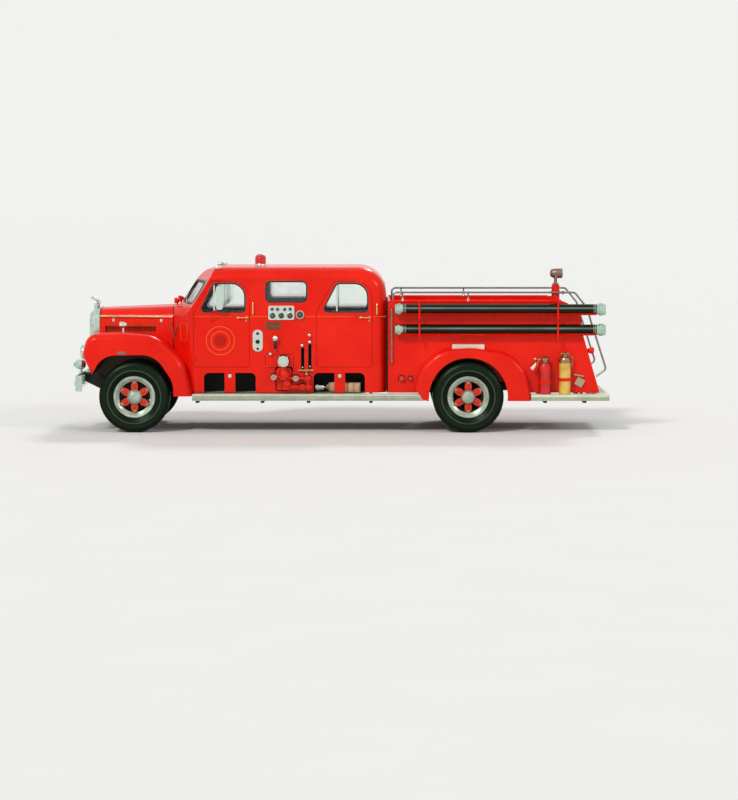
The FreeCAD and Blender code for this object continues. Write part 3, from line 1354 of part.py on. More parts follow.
def mast_post():
    """The searchlight's post, from the bed's floor, with a spigot for the swivel."""
    base = BED_FLOOR_Z + 14
    post = rod((MAST_X, -MAST_Y, base), (MAST_X, -MAST_Y, MAST_TOP - 22), MAST_R)
    cap = Part.makeCone(MAST_R, 50, 22, V(MAST_X, -MAST_Y, MAST_TOP - 22))
    spigot = rod((MAST_X, -MAST_Y, MAST_TOP - 2), (MAST_X, -MAST_Y, MAST_TOP + 16), 18)
    clamp = rod((MAST_X, -MAST_Y, RAIL_TOP - 20), (MAST_X, -MAST_Y, RAIL_TOP + 20), 72)
    rail = rod((MAST_X - 200, -RAIL_Y, RAIL_TOP), (MAST_X + 85, -RAIL_Y, RAIL_TOP), 15)
    return cut(fuse([post, cap, spigot, clamp]), rail)


YOKE_IN = 80.0                # inner face of the searchlight's yoke, from the mast's axis
YOKE_OUT = 90.0
TRUNNION_R = 10.0


def mast_swivel():
    """The yoke that pans on the mast's spigot and carries the searchlight's trunnions."""
    plate = rod((MAST_X, -MAST_Y, MAST_TOP + 0.5), (MAST_X, -MAST_Y, MAST_TOP + 22), 46)
    y = (-MAST_Y - YOKE_OUT, -MAST_Y + YOKE_OUT)
    cross = box((MAST_X - 22, MAST_X + 22), y, (MAST_TOP + 10, MAST_TOP + 22))
    arms = []
    for side in (-1, 1):
        y = sorted((-MAST_Y + side * YOKE_IN, -MAST_Y + side * YOKE_OUT))
        arms.append(box((MAST_X - 18, MAST_X + 18), y, (MAST_TOP + 10, LAMP_Z)))
        arms.append(rod((MAST_X, y[0], LAMP_Z), (MAST_X, y[1], LAMP_Z), 18))
    form = fuse([plate, cross] + arms)
    spigot = rod((MAST_X, -MAST_Y, MAST_TOP - 5), (MAST_X, -MAST_Y, MAST_TOP + 18), 18 + RUNNING)
    trunnions = rod((MAST_X, -MAST_Y - 120, LAMP_Z), (MAST_X, -MAST_Y + 120, LAMP_Z), TRUNNION_R + RUNNING)
    return cut(form, spigot, trunnions)


def searchlight():
    """A drum lamp that faces rearwards, on two trunnions."""
    profile = [(0, -88), (44, -80), (66, -52), (74, 0), (75, 88), (70, 100), (60, 104), (0, 108)]
    drum = lengthwise([(r, MAST_X + x) for r, x in profile], -MAST_Y, LAMP_Z)
    pins = rod((MAST_X, -MAST_Y - YOKE_OUT, LAMP_Z), (MAST_X, -MAST_Y + YOKE_OUT, LAMP_Z), TRUNNION_R)
    return fuse([drum, pins])


BOTTLE_Y = -1102.0


def extinguisher_red():
    """The left bottle, with its hose, nozzle and lever."""
    profile = [
        (0, 585.5), (84, 585.5), (94, 600), (94, 880), (97, 884), (97, 912), (92, 918), (92, 1010),
        (70, 1056), (42, 1070), (42, 1095), (62, 1100), (62, 1140), (40, 1156), (0, 1158),
    ]
    bottle = upright(profile, 6245.0, BOTTLE_Y)
    hose = tube([(6245, BOTTLE_Y, 1118), (6150, BOTTLE_Y, 1118), (6130, BOTTLE_Y, 1010)], 13, 30)
    nozzle = Part.makeCone(16, 32, 120, V(6118, BOTTLE_Y, 1060), V(-0.62, 0, -0.78))
    lever = rod((6180, BOTTLE_Y, 1118), (6075, BOTTLE_Y, 1128), 10)
    return fuse([bottle, hose, nozzle, lever])


def extinguisher_yellow():
    """The slimmer bottle behind it, with a cross valve and a short hose."""
    profile = [(0, 585.5), (76, 585.5), (88, 600), (88, 1110)]
    profile += [(74, 1140), (34, 1156), (34, 1190), (0, 1190)]
    bottle = upright(profile, 6547.0, BOTTLE_Y)
    valve = fuse([
        rod((6505, BOTTLE_Y, 1196), (6590, BOTTLE_Y, 1196), 14),
        ball((6500, BOTTLE_Y, 1204), 24),
        ball((6594, BOTTLE_Y, 1204), 24),
    ])
    hose = tube([(6547, BOTTLE_Y, 1196), (6660, BOTTLE_Y, 1150), (6652, BOTTLE_Y, 1000)], 10, 30)
    return fuse([bottle, valve, hose])


def bottle_straps():
    """Bands that hold the bottles to the body, and the folding step plate behind them."""
    pieces = []
    for x, r, z in ((6245.0, 94.0, 770.0), (6547.0, 88.0, 812.0)):
        band = cut(
            rod((x, BOTTLE_Y, z - 25), (x, BOTTLE_Y, z + 25), r + 7),
            rod((x, BOTTLE_Y, z - 30), (x, BOTTLE_Y, z + 30), r + 0.6),
        )
        stay = cut(
            box((x - 40, x + 40), (BOTTLE_Y, -BED_HALF), (z - 20, z + 20)),
            rod((x, BOTTLE_Y, z - 30), (x, BOTTLE_Y, z + 30), r + 0.6),
        )
        pieces.append(fuse([band, stay]))
    plate = box((-62, 62), (-BED_HALF - 34, -BED_HALF - 24), (-62, 62))
    plate.rotate(V(0, 0, 0), V(0, 1, 0), 30)
    plate.translate(V(6780, 0, 763))
    stem = rod((6780, -BED_HALF - 26, 763), (6780, -BED_HALF, 763), 16)
    hook = rod((6690, -BED_HALF - 29, 880), (6840, -BED_HALF - 29, 852), 12)
    knob = rod((6765, -BED_HALF - 29, 866), (6765, -BED_HALF, 866), 10)
    pieces += [fuse([plate, stem]), fuse([hook, knob])]
    return Part.makeCompound(pieces)


def discharge_caps():
    """Two capped outlets low on each side of the body, behind the cab."""
    caps = []
    for x, z, r in DISCHARGES:
        caps.append(rod((x, -BED_HALF - 46, z), (x, -BED_HALF + 20, z), r - 8))
        caps.append(rod((x, -BED_HALF - 62, z), (x, -BED_HALF - 20, z), r))
    return both(Part.makeCompound([fuse(caps[:2]), fuse(caps[2:])]))


def exhaust():
    """Pipe and silencer under the right-hand rail, out below the running board."""
    points = [(300, 280, 660), (300, 330, 560), (700, 300, 500), (1060, 300, 500)]
    front = tube(points, 36, 60)
    silencer = rod((1050, 300, 500), (1850, 300, 500), 95)
    tail = tube([(1840, 300, 500), (3260, 300, 500), (3420, 1165, 430)], 34, 90)
    return fuse([front, silencer, tail])


def soft_hose():
    """A folded soft hose in the rear step well, as one bundle with its coupling."""
    corners = [(2884, 600, 30), (2884, 745, 60), (3200, 790, 200), (3455, 750, 60), (3455, 600, 30)]
    folds = prism(corners, "XZ", -935, -700)
    end = rod((2745, -860, 676), (2890, -860, 676), 52)
    rib = rod((2755, -860, 676), (2800, -860, 676), 62)
    return fuse([folds, end, rib])


# ---------------------------------------------------------------- the vehicle
def main():
    body, roof, doors = cab_parts()
    save("cab_body", body)
    save("cab_roof", roof)
    for name, dx, piece in (("front", 0.0, doors[0]), ("rear", DOOR_PITCH, doors[1])):
        save("door_%s_left" % name, piece)
        save("door_%s_right" % name, mirrored(piece))
        pane = door_glass(dx)
        save("door_glass_%s_left" % name, pane)
        save("door_glass_%s_right" % name, mirrored(pane))
    save("cab_glass", cab_glass())
    save("cab_floor", cab_floor())
    save("cab_boxes", cab_boxes())
    save("cab_seats", Part.makeCompound([bench(x0, x1) for x0, x1 in BENCHES]))
    save("dashboard", dashboard())

    save("front_fenders", both(front_fender()))
    save("radiator_shell", radiator_shell())
    save("radiator_grille", radiator_grille())
    lid = bonnet_lid()
    save("bonnet_left", lid)
    save("bonnet_right", mirrored(lid))
    save("bonnet_sides", bonnet_sides())
    save("front_bumper", fuse([front_bumper(), siren()]))
    save("lamps", Part.makeCompound([headlamps(), marker_lamps(), tail_lamps()]))
    save("beacon", beacon())
    save("mirror_left", mirror())
    save("mirror_right", mirrored(mirror()))

    save("frame_rails", frame_rails())
    save("frame_members", frame_members())
    save("leaf_springs", leaf_springs())
    save("front_axle", front_axle())
    left = knuckle()
    save("knuckle_left", left)
    save("knuckle_right", mirrored(left))
    save("tie_rod", tie_rod())
    save("rear_axle", rear_axle())
    save("powertrain", fuse([powertrain(), exhaust()]))
    save("fire_pump", fire_pump())
    pieces = {
        "front_wheel": front_wheel(),
        "front_tyre": tyre(-FRONT_TRACK_Y),
        "rear_wheel": rear_wheel(),
        "rear_tyres": rear_tyres(),
    }
    for name, piece in pieces.items():
        save(name + "_left", piece)
        save(name + "_right", mirrored(piece))

    save("panel_fittings", Part.makeCompound([panel_chrome(True), panel_chrome(False), panel_levers()]))
    save("soft_hose", soft_hose())
    save("hose_body", hose_body())
    save("rear_fenders", both(rear_fender()))
    save("tread_boards", Part.makeCompound([both(running_boards()), tailboard(), both(fender_steps())]))
    save("suction_hoses", suction_hoses())
    save("suction_couplings", suction_couplings())
    save("side_racks", Part.makeCompound([hose_troughs(), ladder_hangers()]))
    save("ladders", ladders())
    save("handrails", handrails())
    save("mast_post", mast_post())
    save("mast_swivel", mast_swivel())
    save("searchlight", searchlight())
    save("extinguishers", Part.makeCompound([extinguisher_red(), extinguisher_yellow()]))
    save("side_fittings", Part.makeCompound([bottle_straps(), discharge_caps()]))


main()
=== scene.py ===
"""Looks of a mid-1950s crew-cab pumper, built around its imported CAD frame.

Points are places in the frame, in metres. Everything else about a shape is in millimetres: outlines,
radii, heights, depths, and the x, y, z of at(), which count from the front axle, the centre line and
the ground. The boxes in the materials are in metres.
"""

import math
import random

import bmesh
import bpy
from mathutils import Matrix, Vector


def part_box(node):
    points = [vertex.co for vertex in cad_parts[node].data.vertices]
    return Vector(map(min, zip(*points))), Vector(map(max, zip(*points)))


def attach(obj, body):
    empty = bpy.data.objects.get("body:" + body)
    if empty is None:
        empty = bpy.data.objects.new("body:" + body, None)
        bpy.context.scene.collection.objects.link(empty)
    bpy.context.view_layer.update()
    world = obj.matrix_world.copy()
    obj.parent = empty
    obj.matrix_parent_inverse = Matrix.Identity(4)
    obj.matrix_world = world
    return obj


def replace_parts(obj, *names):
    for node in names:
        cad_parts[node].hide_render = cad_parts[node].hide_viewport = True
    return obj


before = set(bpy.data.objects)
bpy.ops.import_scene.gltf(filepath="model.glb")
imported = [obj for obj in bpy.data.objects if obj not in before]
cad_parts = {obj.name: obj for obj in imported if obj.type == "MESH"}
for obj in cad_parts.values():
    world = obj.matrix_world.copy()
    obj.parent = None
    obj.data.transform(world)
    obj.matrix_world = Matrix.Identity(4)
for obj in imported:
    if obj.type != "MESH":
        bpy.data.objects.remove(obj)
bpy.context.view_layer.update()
MM = 0.001


# ---------------------------------------------------------------- places
def middle(node):
    """The middle of a CAD node's box."""
    low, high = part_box(node)
    return (Vector(low) + Vector(high)) / 2


FRONT_AXLE = middle("front_tyre_left")
REAR_AXLE = middle("rear_tyres_left")
TYRE_R = (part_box("front_tyre_left")[1][2] - FRONT_AXLE.z) / MM
SKIN = 985                    # cab side below the belt, |y|
UPPER = 972                   # cab side above the belt
BELT_Z = 1767
BED_Y = 1000                  # hose body's side
BOARD_Y = 1190                # running boards' and fenders' outer edge
REAR_ARCH_R = 606             # rim of the rear wheel openings
WELL_FLOOR_Z = 602            # pan of the step wells
HOSE_Z = (1877, 1569)         # axes of the suction hoses
HOSE_Y = 1090
SIDES = (("left", -1), ("right", 1))
DOOR_ENDS = (("front", 0), ("rear", 1870))      # how far each pair of doors stands behind the front one
LEFT = Vector((0, -1, 0))
AHEAD = (-1, 0, 0)
BACK = (1, 0, 0)
UP = (0, 0, 1)


def at(x, y, z):
    """Millimetres from the front axle, the centre line and the ground, as a point in the frame."""
    return Vector((FRONT_AXLE.x + x * MM, y * MM, z * MM))


def span(low, high):
    """A stretch of x in the frame, in metres."""
    return (at(low, 0, 0).x, at(high, 0, 0).x)


def on_side(s, y, out=1):
    """A place() on one side: a and b are x and z, h stands out from |y| (or inwards, where out is -1)."""
    def place(a, b, h):
        return at(a, s * (y + out * h), b)

    return place


def arm_at(degrees):
    """A unit arm that points so many degrees up from straight back."""
    a = math.radians(degrees)
    return Vector((math.cos(a), 0, math.sin(a)))


def steps(start, end, pitch):
    """start, start + pitch and so on, below end."""
    while start < end:
        yield start
        start += pitch


# ---------------------------------------------------------------- meshes
def add_object(name, bm, finish, body="chassis", smooth=40):
    """Turns a bmesh into a piece that rides on a body; smooth is the angle of its sharp edges, 0 for flat."""
    bmesh.ops.recalc_face_normals(bm, faces=bm.faces)
    mesh = bpy.data.meshes.new(name)
    bm.to_mesh(mesh)
    bm.free()
    obj = bpy.data.objects.new(name, mesh)
    bpy.context.collection.objects.link(obj)
    if smooth:
        mesh.polygons.foreach_set("use_smooth", [True] * len(mesh.polygons))
        mesh.set_sharp_from_angle(angle=math.radians(smooth))
    mesh.materials.append(MATERIALS[finish])
    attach(obj, body)
    return obj


def merge(bm, other):
    """Adds another bmesh's geometry to bm."""
    temp = bpy.data.meshes.new("temp")
    other.to_mesh(temp)
    other.free()
    bm.from_mesh(temp)
    bpy.data.meshes.remove(temp)


def on_both(bm):
    """The same geometry on both sides."""
    copy = bm.copy()
    copy.transform(Matrix.Diagonal((1, -1, 1, 1)))
    bmesh.ops.reverse_faces(copy, faces=copy.faces)
    merge(bm, copy)
    return bm


def skin(rings, looped=False, caps=False):
    """A mesh through rings of points; looped joins the last ring to the first."""
    bm = bmesh.new()
    made = [[bm.verts.new(p) for p in ring] for ring in rings]
    following = made[1:] + made[:1] if looped else made[1:]
    for a, b in zip(made, following):
        for k in range(len(a)):
            m = (k + 1) % len(a)
            bm.faces.new((a[k], a[m], b[m], b[k]))
    if caps:
        bm.faces.new(made[0][::-1])
        bm.faces.new(made[-1])
    return bm


def lathe(profile, origin, axis, segments=64, closed=False):
    """A (radius, height) profile turned about an axis through origin."""
    bm = bmesh.new()
    rings = []
    for r, h in profile:
        if r == 0:
            rings.append([bm.verts.new((0, 0, h * MM))])
            continue
        turns = [2 * math.pi * i / segments for i in range(segments)]
        rings.append([bm.verts.new((r * math.cos(a) * MM, r * math.sin(a) * MM, h * MM)) for a in turns])
    pairs = list(zip(rings, rings[1:]))
    if closed:
        pairs.append((rings[-1], rings[0]))
    for a, b in pairs:
        if len(a) == 1 and len(b) == 1:
            continue
        for i in range(segments):
            j = (i + 1) % segments
            if len(a) == 1:
                bm.faces.new((a[0], b[j], b[i]))
            elif len(b) == 1:
                bm.faces.new((a[i], a[j], b[0]))
            else:
                bm.faces.new((a[i], a[j], b[j], b[i]))
    turn = Vector((0, 0, 1)).rotation_difference(Vector(axis)).to_matrix().to_4x4()
    bm.transform(Matrix.Translation(origin) @ turn)
    return bm


def disc(r, h):
    """The profile of a flat disc."""
    return [(0, 0), (r, 0), (r, h), (0, h)]


def dome(foot, top, edge, h):
    """The profile of a rivet: its foot's and top's radius, the height of the top's edge and of its middle."""
    return [(0, 0), (foot, 0), (top, edge), (0, h)]


def soften(bm, edges, bevel, segments=2):
    """Rounds edges."""
    bmesh.ops.bevel(bm, geom=edges, offset=bevel * MM, segments=segments, affect="EDGES", clamp_overlap=True)


def block(low, high, bevel=0, segments=2):
    """A box between two points, with rounded edges."""
    bm = bmesh.new()
    bmesh.ops.create_cube(bm, size=1.0)
    low, high = Vector(low), Vector(high)
    bm.transform(Matrix.Translation((low + high) / 2) @ Matrix.Diagonal((*(high - low), 1)))
    if bevel:
        soften(bm, bm.edges[:], bevel, segments)
    return bm


def rounded(corners, r, count=5):
    """A closed 2-D outline whose corners (a, b) or (a, b, radius) are rounded, each in count steps."""
    points = []
    n = len(corners)
    for i in range(n):
        p = Vector(corners[i][:2])
        rad = corners[i][2] if len(corners[i]) > 2 else r
        before = (Vector(corners[i - 1][:2]) - p).normalized()
        after = (Vector(corners[(i + 1) % n][:2]) - p).normalized()
        half = before.angle(after) / 2
        centre = p + (before + after).normalized() * (rad / math.sin(half))
        start = p + before * (rad / math.tan(half)) - centre
        sweep_angle = start.angle_signed(p + after * (rad / math.tan(half)) - centre)
        for k in range(count + 1):
            turned = start.copy()
            turned.rotate(Matrix.Rotation(-sweep_angle * k / count, 2))
            points.append(centre + turned)
    return points


def oblong(a0, b0, a1, b1, r, count=5):
    """A rounded oblong between two corners."""
    return rounded([(a0, b0), (a0, b1), (a1, b1), (a1, b0)], r, count)


def plate(points, place, depth, bevel=0):
    """A flat outline raised by depth: place(a, b, h) puts a point in the frame."""
    bm = bmesh.new()
    lower = [bm.verts.new(place(p[0], p[1], 0)) for p in points]
    upper = [bm.verts.new(place(p[0], p[1], depth)) for p in points]
    n = len(points)
    bm.faces.new(lower[::-1])
    top = bm.faces.new(upper)
    for i in range(n):
        bm.faces.new((lower[i], lower[(i + 1) % n], upper[(i + 1) % n], upper[i]))
    if bevel:
        soften(bm, list(top.edges), bevel)
    return bm


def frame_strip(points, place, width, depth, inward=True):
    """A moulding that follows a closed outline, width wide and depth proud, with a rounded back."""
    n = len(points)
    area = sum(points[i].x * points[(i + 1) % n].y - points[(i + 1) % n].x * points[i].y for i in range(n))
    sign = (1 if area > 0 else -1) * (1 if inward else -1)
    profile = [(0, 0), (0, 0.6), (0.25, 1), (0.75, 1), (1, 0.6), (1, 0)]
    rings = []
    for i in range(n):
        along = (points[(i + 1) % n] - points[i - 1]).normalized()
        side = Vector((-along.y, along.x)) * sign
        line = [(points[i] + side * across * width, up * depth) for across, up in profile]
        rings.append([place(q.x, q.y, h) for q, h in line])
    return skin(rings, looped=True)


def sweep(points, radius, sides=10, caps=True):
    """A round bar through points; radius is one number, or one for each point."""
    rings = []
    normal = None
    for i, p in enumerate(points):
        ahead = (points[min(i + 1, len(points) - 1)] - points[max(i - 1, 0)]).normalized()
        if normal is None:
            normal = ahead.orthogonal().normalized()
        normal = (normal - ahead * normal.dot(ahead)).normalized()
        other = ahead.cross(normal)
        r = (radius[i] if isinstance(radius, list) else radius) * MM
        turns = [2 * math.pi * k / sides for k in range(sides)]
        rings.append([p + normal * math.cos(a) * r + other * math.sin(a) * r for a in turns])
    return skin(rings, caps=caps)


def bolt(origin, axis, r, h):
    """A hexagon head on a washer."""
    bm = lathe(disc(r * 1.45, h * 0.2), origin, axis, 14)
    head = [(0, h * 0.15), (r, h * 0.15), (r, h * 0.85), (r * 0.8, h), (0, h)]
    merge(bm, lathe(head, origin, axis, 6))
    return bm


# ---------------------------------------------------------------- materials
MATERIALS = {}                # this script's own; the frame has some of the same name


class Nodes:
    """Short names for building a material's node tree; where a number fits, so does a link."""

    def __init__(self, name):
        self.material = bpy.data.materials.new(name)
        MATERIALS[name] = self.material
        self.material.use_nodes = True
        self.tree = self.material.node_tree
        self.bsdf = self.tree.nodes["Principled BSDF"]
        self.coords = self.tree.nodes.new("ShaderNodeTexCoord").outputs["Object"]

    def put(self, socket, value):
        if isinstance(value, (int, float, tuple)):
            socket.default_value = value
        else:
            self.tree.links.new(value, socket)

    def node(self, kind, **values):
        """A new node, with values for its named sockets."""
        node = self.tree.nodes.new("ShaderNode" + kind)
        for name, value in values.items():
            self.put(node.inputs[name], value)
        return node

    def noise(self, scale, detail=4.0, stretch=None):
        source = self.coords
        if stretch:
            source = self.node("Mapping", Vector=source, Scale=stretch).outputs["Vector"]
        return self.node("TexNoise", Vector=source, Scale=scale, Detail=detail, Roughness=0.55).outputs["Fac"]

    def wave(self, direction, scale):
        node = self.node("TexWave", Vector=self.coords, Scale=scale)
        node.bands_direction = direction
        return node.outputs["Fac"]

    def math(self, operation, a, b=0.0, clamp=False):
        node = self.node("Math")
        node.operation = operation
        node.use_clamp = clamp
        self.put(node.inputs[0], a)
        self.put(node.inputs[1], b)
        return node.outputs[0]

    def add(self, a, b):
        return self.math("ADD", a, b)

    def less(self, a, b, clamp=False):
        return self.math("SUBTRACT", a, b, clamp)

    def times(self, a, b, clamp=False):
        return self.math("MULTIPLY", a, b, clamp)

    def above(self, a, b):
        return self.math("GREATER_THAN", a, b)

    def below(self, a, b):
        return self.math("LESS_THAN", a, b)

    def most(self, a, b):
        return self.math("MAXIMUM", a, b)

    def follow(self, source, amount, base):
        """base plus amount times the source."""
        return self.add(self.times(source, amount), base)

    def ramp(self, source, *stops):
        """A colour ramp; each stop is a place and a colour."""
        node = self.node("ValToRGB", Fac=source)
        elements = node.color_ramp.elements
        while len(elements) < len(stops):
            elements.new(0.5)
        for element, (place, colour) in zip(elements, stops):
            element.position = place
            element.color = (*colour, 1)
        return node.outputs["Color"]

    def clouds(self, scale, detail, dark, light, low=0.3, high=0.7):
        """Two colours in soft patches."""
        return self.ramp(self.noise(scale, detail), (low, dark), (high, light))

    def mix(self, factor, a, b):
        node = self.node("Mix")
        node.data_type = "RGBA"
        self.put(node.inputs[0], factor)
        # the colour sockets share their names with the float ones, so they are found by type
        colours = [s for s in node.inputs if s.type == "RGBA"]
        for socket, value in zip(colours, (a, b)):
            self.put(socket, (*value, 1) if isinstance(value, tuple) else value)
        return [s for s in node.outputs if s.type == "RGBA"][0]

    def axis(self, name):
        """The object's own x, y or z."""
        return self.node("SeparateXYZ", Vector=self.coords).outputs[name]

    def off_centre(self):
        """|y|."""
        return self.math("ABSOLUTE", self.axis("Y"))

    def inside(self, ranges):
        """1 inside a box of the object's own coordinates: {"X": (low, high), ...}; "Y" is |y|."""
        result = None
        for name, (low, high) in ranges.items():
            value = self.off_centre() if name == "Y" else self.axis(name)
            both = self.times(self.above(value, low), self.below(value, high))
            result = both if result is None else self.times(result, both)
        return result

    def facing(self, output="True Normal"):
        """The direction a face looks in, as its X, Y and Z."""
        geometry = self.node("NewGeometry").outputs[output]
        return self.node("SeparateXYZ", Vector=geometry).outputs

    def looks_at(self, centre, radius, out):
        """1 on faces turned to an axle, nearer to it than radius and no further out than |y| = out."""
        facing = self.facing()
        turned, far = None, None
        for name, value in (("X", centre.x), ("Z", centre.z)):
            reach = self.less(value, self.axis(name))
            part = self.times(reach, facing[name])
            square = self.times(reach, reach)
            turned = part if turned is None else self.add(turned, part)
            far = square if far is None else self.add(far, square)
        near = self.below(far, radius * radius)
        within = self.below(self.off_centre(), out)
        return self.times(self.above(turned, 0.02), self.times(near, within))

    def looks_down(self, out):
        """1 on faces turned downwards, no further out than |y| = out."""
        within = self.below(self.off_centre(), out)
        return self.times(self.below(self.facing()["Z"], -0.05), within)

    def turns_away(self, limit):
        """1 on faces turned away from the vehicle's sides, falling to 0 where the normal's |y| is limit."""
        side = self.math("ABSOLUTE", self.facing("Normal")["Y"])
        return self.times(self.less(limit, side, clamp=True), 1 / limit, clamp=True)

    def radius(self, centre):
        """Distance from a wheel's axle."""
        dx = self.less(self.axis("X"), centre.x)
        dz = self.less(self.axis("Z"), centre.z)
        return self.math("SQRT", self.add(self.times(dx, dx), self.times(dz, dz)))

    def swap(self, mask, value, other):
        """A number where the mask is 0, another where it is 1."""
        return self.add(self.times(value, self.less(1.0, mask)), self.times(mask, other))

    def bump(self, source, strength, distance):
        node = self.node("Bump", Strength=strength, Distance=distance, Height=source)
        self.put(self.bsdf.inputs["Normal"], node.outputs[0])

    def set(self, **values):
        """Sets or links sockets of the surface's shader."""
        for name, value in values.items():
            self.put(self.bsdf.inputs[name.replace("_", " ")], value)


RED = (0.74, 0.0045, 0.0020)
RED_DEEP = (0.36, 0.0040, 0.0020)
RED_LIGHT = (0.86, 0.0150, 0.0040)
# colour of the painted shade on faces turned away from the vehicle's sides
EDGE_SHADE = (0.10, 0.0015, 0.001)
CHROME = (0.62, 0.75, 0.66)
PLATE = (0.76, 0.83, 0.74)
BRASS = (0.62, 0.42, 0.16)
WARM = (0.86, 0.50, 0.24)
COPPER = (0.58, 0.32, 0.22)
# near-black underseal, which also serves as painted shade in the wheelhouses and between the spokes
UNDERSEAL_AND_SHADE = (0.004, 0.004, 0.005)
# near-black lining inside the cab, which also stands in as painted shade there
LINING_AND_SHADE = (0.035, 0.040, 0.034)
GLOW = (1.0, 0.50, 0.30)      # tint of the red enamel's reflections
ROOF_LINING_Y = 0.93          # edge of the lining under the roof
ARCH_OUT = 1.175              # how far out the wheelhouses are black
BOARDS = ((0.35, (0.16, 0.070, 0.022)), (0.6, (0.33, 0.165, 0.060)), (0.8, (0.42, 0.24, 0.10)))


def paint(name, tones=(RED, RED_DEEP, RED_LIGHT), chrome=(), warm=(), zones=(), timber=(), matt=(), arches=(),
          roof=False, edge_shade=0.0):
    """Old enamel: slight fading, road film towards the sills, orange peel.

    tones are its own colour, the film's and the faded one. Inside the boxes of chrome and warm it is
    plated, zones have another colour, timber ones are varnished boards, and matt ones don't shine.
    arches are axles with the reach and the outermost |y| of their black wheelhouses: underseal, and painted
    shade inside them. A roof has a grey lining underneath, which is also painted shade; the edge shade
    darkens, as painted shade, what faces away from the sides.
    """
    n = Nodes(name)
    colour, deep, light = tones
    tone = n.clouds(1.3, 3.0, colour, light, 0.3, 0.75)
    film = n.less(1.05, n.axis("Z"), clamp=True)
    patchy = n.times(film, n.noise(9.0, 6.0), clamp=True)
    tone = n.mix(n.times(patchy, 0.55, clamp=True), tone, deep)
    specks = n.above(n.noise(160.0, 2.0), 0.74)
    tone = n.mix(n.times(specks, 0.35), tone, deep)
    rough = n.follow(n.noise(5.0, 5.0), 0.14, 0.20)
    for ranges, other in zones:
        tone = n.mix(n.inside(ranges), tone, other)
    for ranges in timber:
        boards = n.ramp(n.noise(9.0, 8.0, (0.25, 5.0, 5.0)), *BOARDS)
        tone = n.mix(n.inside(ranges), tone, boards)
    for centre, radius, out in arches:
        tone = n.mix(n.looks_at(centre, radius, out), tone, UNDERSEAL_AND_SHADE)
    if roof:
        tone = n.mix(n.looks_down(ROOF_LINING_Y), tone, LINING_AND_SHADE)
    # painted shade: faces turned away from the sides are darkened
    if edge_shade:
        tone = n.mix(n.times(n.turns_away(0.75), edge_shade), tone, EDGE_SHADE)
    for ranges in matt:
        rough = n.swap(n.inside(ranges), rough, 0.85)
    metal = None
    for ranges, plating in [(r, CHROME) for r in chrome] + [(r, WARM) for r in warm]:
        inside = n.inside(ranges)
        tone = n.mix(inside, tone, plating)
        metal = inside if metal is None else n.most(metal, inside)
    if metal is not None:
        n.set(Metallic=metal)
        rough = n.times(rough, n.less(1.0, n.times(metal, 0.45)))
    n.set(Base_Color=tone, Roughness=rough, Specular_IOR_Level=0.25, Specular_Tint=(*GLOW, 1.0))
    n.set(Coat_Weight=0.16, Coat_Roughness=0.07)
    n.bump(n.noise(210.0, 2.0), 0.03, 0.0006)


def zoned(name, base, zones):
    """A worn finish (colour, metallic, roughness) with other finishes inside boxes."""
    n = Nodes(name)
    tone, metal, rough = base
    for ranges, colour, metallic, roughness in zones:
        inside = n.inside(ranges)
        tone = n.mix(inside, tone, colour)
        metal = n.swap(inside, metal, metallic)
        rough = n.swap(inside, rough, roughness)
    haze = n.noise(22.0, 5.0)
    tone = n.mix(n.times(haze, 0.3), tone, (0.03, 0.03, 0.03))
    n.set(Base_Color=tone, Metallic=metal, Roughness=n.follow(haze, 0.12, rough), Specular_IOR_Level=0.3)
    n.bump(n.noise(180.0, 3.0), 0.06, 0.0005)


def bright(name, colour=CHROME, rough=0.12, tarnish=0.5):
    """Plated metal with a faint haze and fine scratches."""
    n = Nodes(name)
    haze = n.noise(22.0, 5.0)
    dark = tuple(c * (1 - 0.5 * tarnish) for c in colour)
    tone = n.ramp(haze, (0.35, dark), (0.65, colour))
    n.set(Base_Color=tone, Metallic=1.0, Roughness=n.follow(haze, 0.14 * tarnish, rough))
    n.bump(n.noise(320.0, 3.0, (0.06, 1.0, 1.0)), 0.035, 0.0004)


def coated(name, colour, rough=0.45, grain=120.0, depth=0.0006, coat=0.0, vary=0.35, spec=0.4,
           tint=(1.0, 1.0, 1.0)):
    """Painted, rubber or plastic surface with grain and slight colour variation."""
    n = Nodes(name)
    light = tuple(min(1.0, c * (1 + vary)) for c in colour)
    dark = tuple(c * (1 - vary * 0.6) for c in colour)
    n.set(
        Base_Color=n.clouds(14.0, 6.0, dark, light),
        Roughness=n.follow(n.noise(40.0, 4.0), 0.2, rough - 0.1),
        Specular_IOR_Level=spec,
        Specular_Tint=(*tint, 1.0),
        Coat_Weight=coat,
    )
    n.bump(n.noise(grain, 4.0), 0.25, depth)


def glass(name, colour, alpha, ior=1.45):
    """Clear glass with a film of dust."""
    n = Nodes(name)
    dust = n.noise(7.0, 5.0)
    n.set(
        Base_Color=n.ramp(dust, (0.3, tuple(c * 0.85 for c in colour)), (0.7, colour)),
        Roughness=n.follow(dust, 0.05, 0.02),
        Transmission_Weight=1.0,
        IOR=ior,
        Alpha=alpha,
    )
    n.material.use_backface_culling = False


def lens(name, colour):
    """Moulded lamp glass with fine vertical flutes."""
    n = Nodes(name)
    tone = n.clouds(18.0, 4.0, tuple(c * 0.75 for c in colour), colour, 0.3, 0.75)
    n.set(Base_Color=tone, Roughness=0.1, Transmission_Weight=0.35, IOR=1.45)
    n.bump(n.wave("Y", 26.0), 0.4, 0.003)


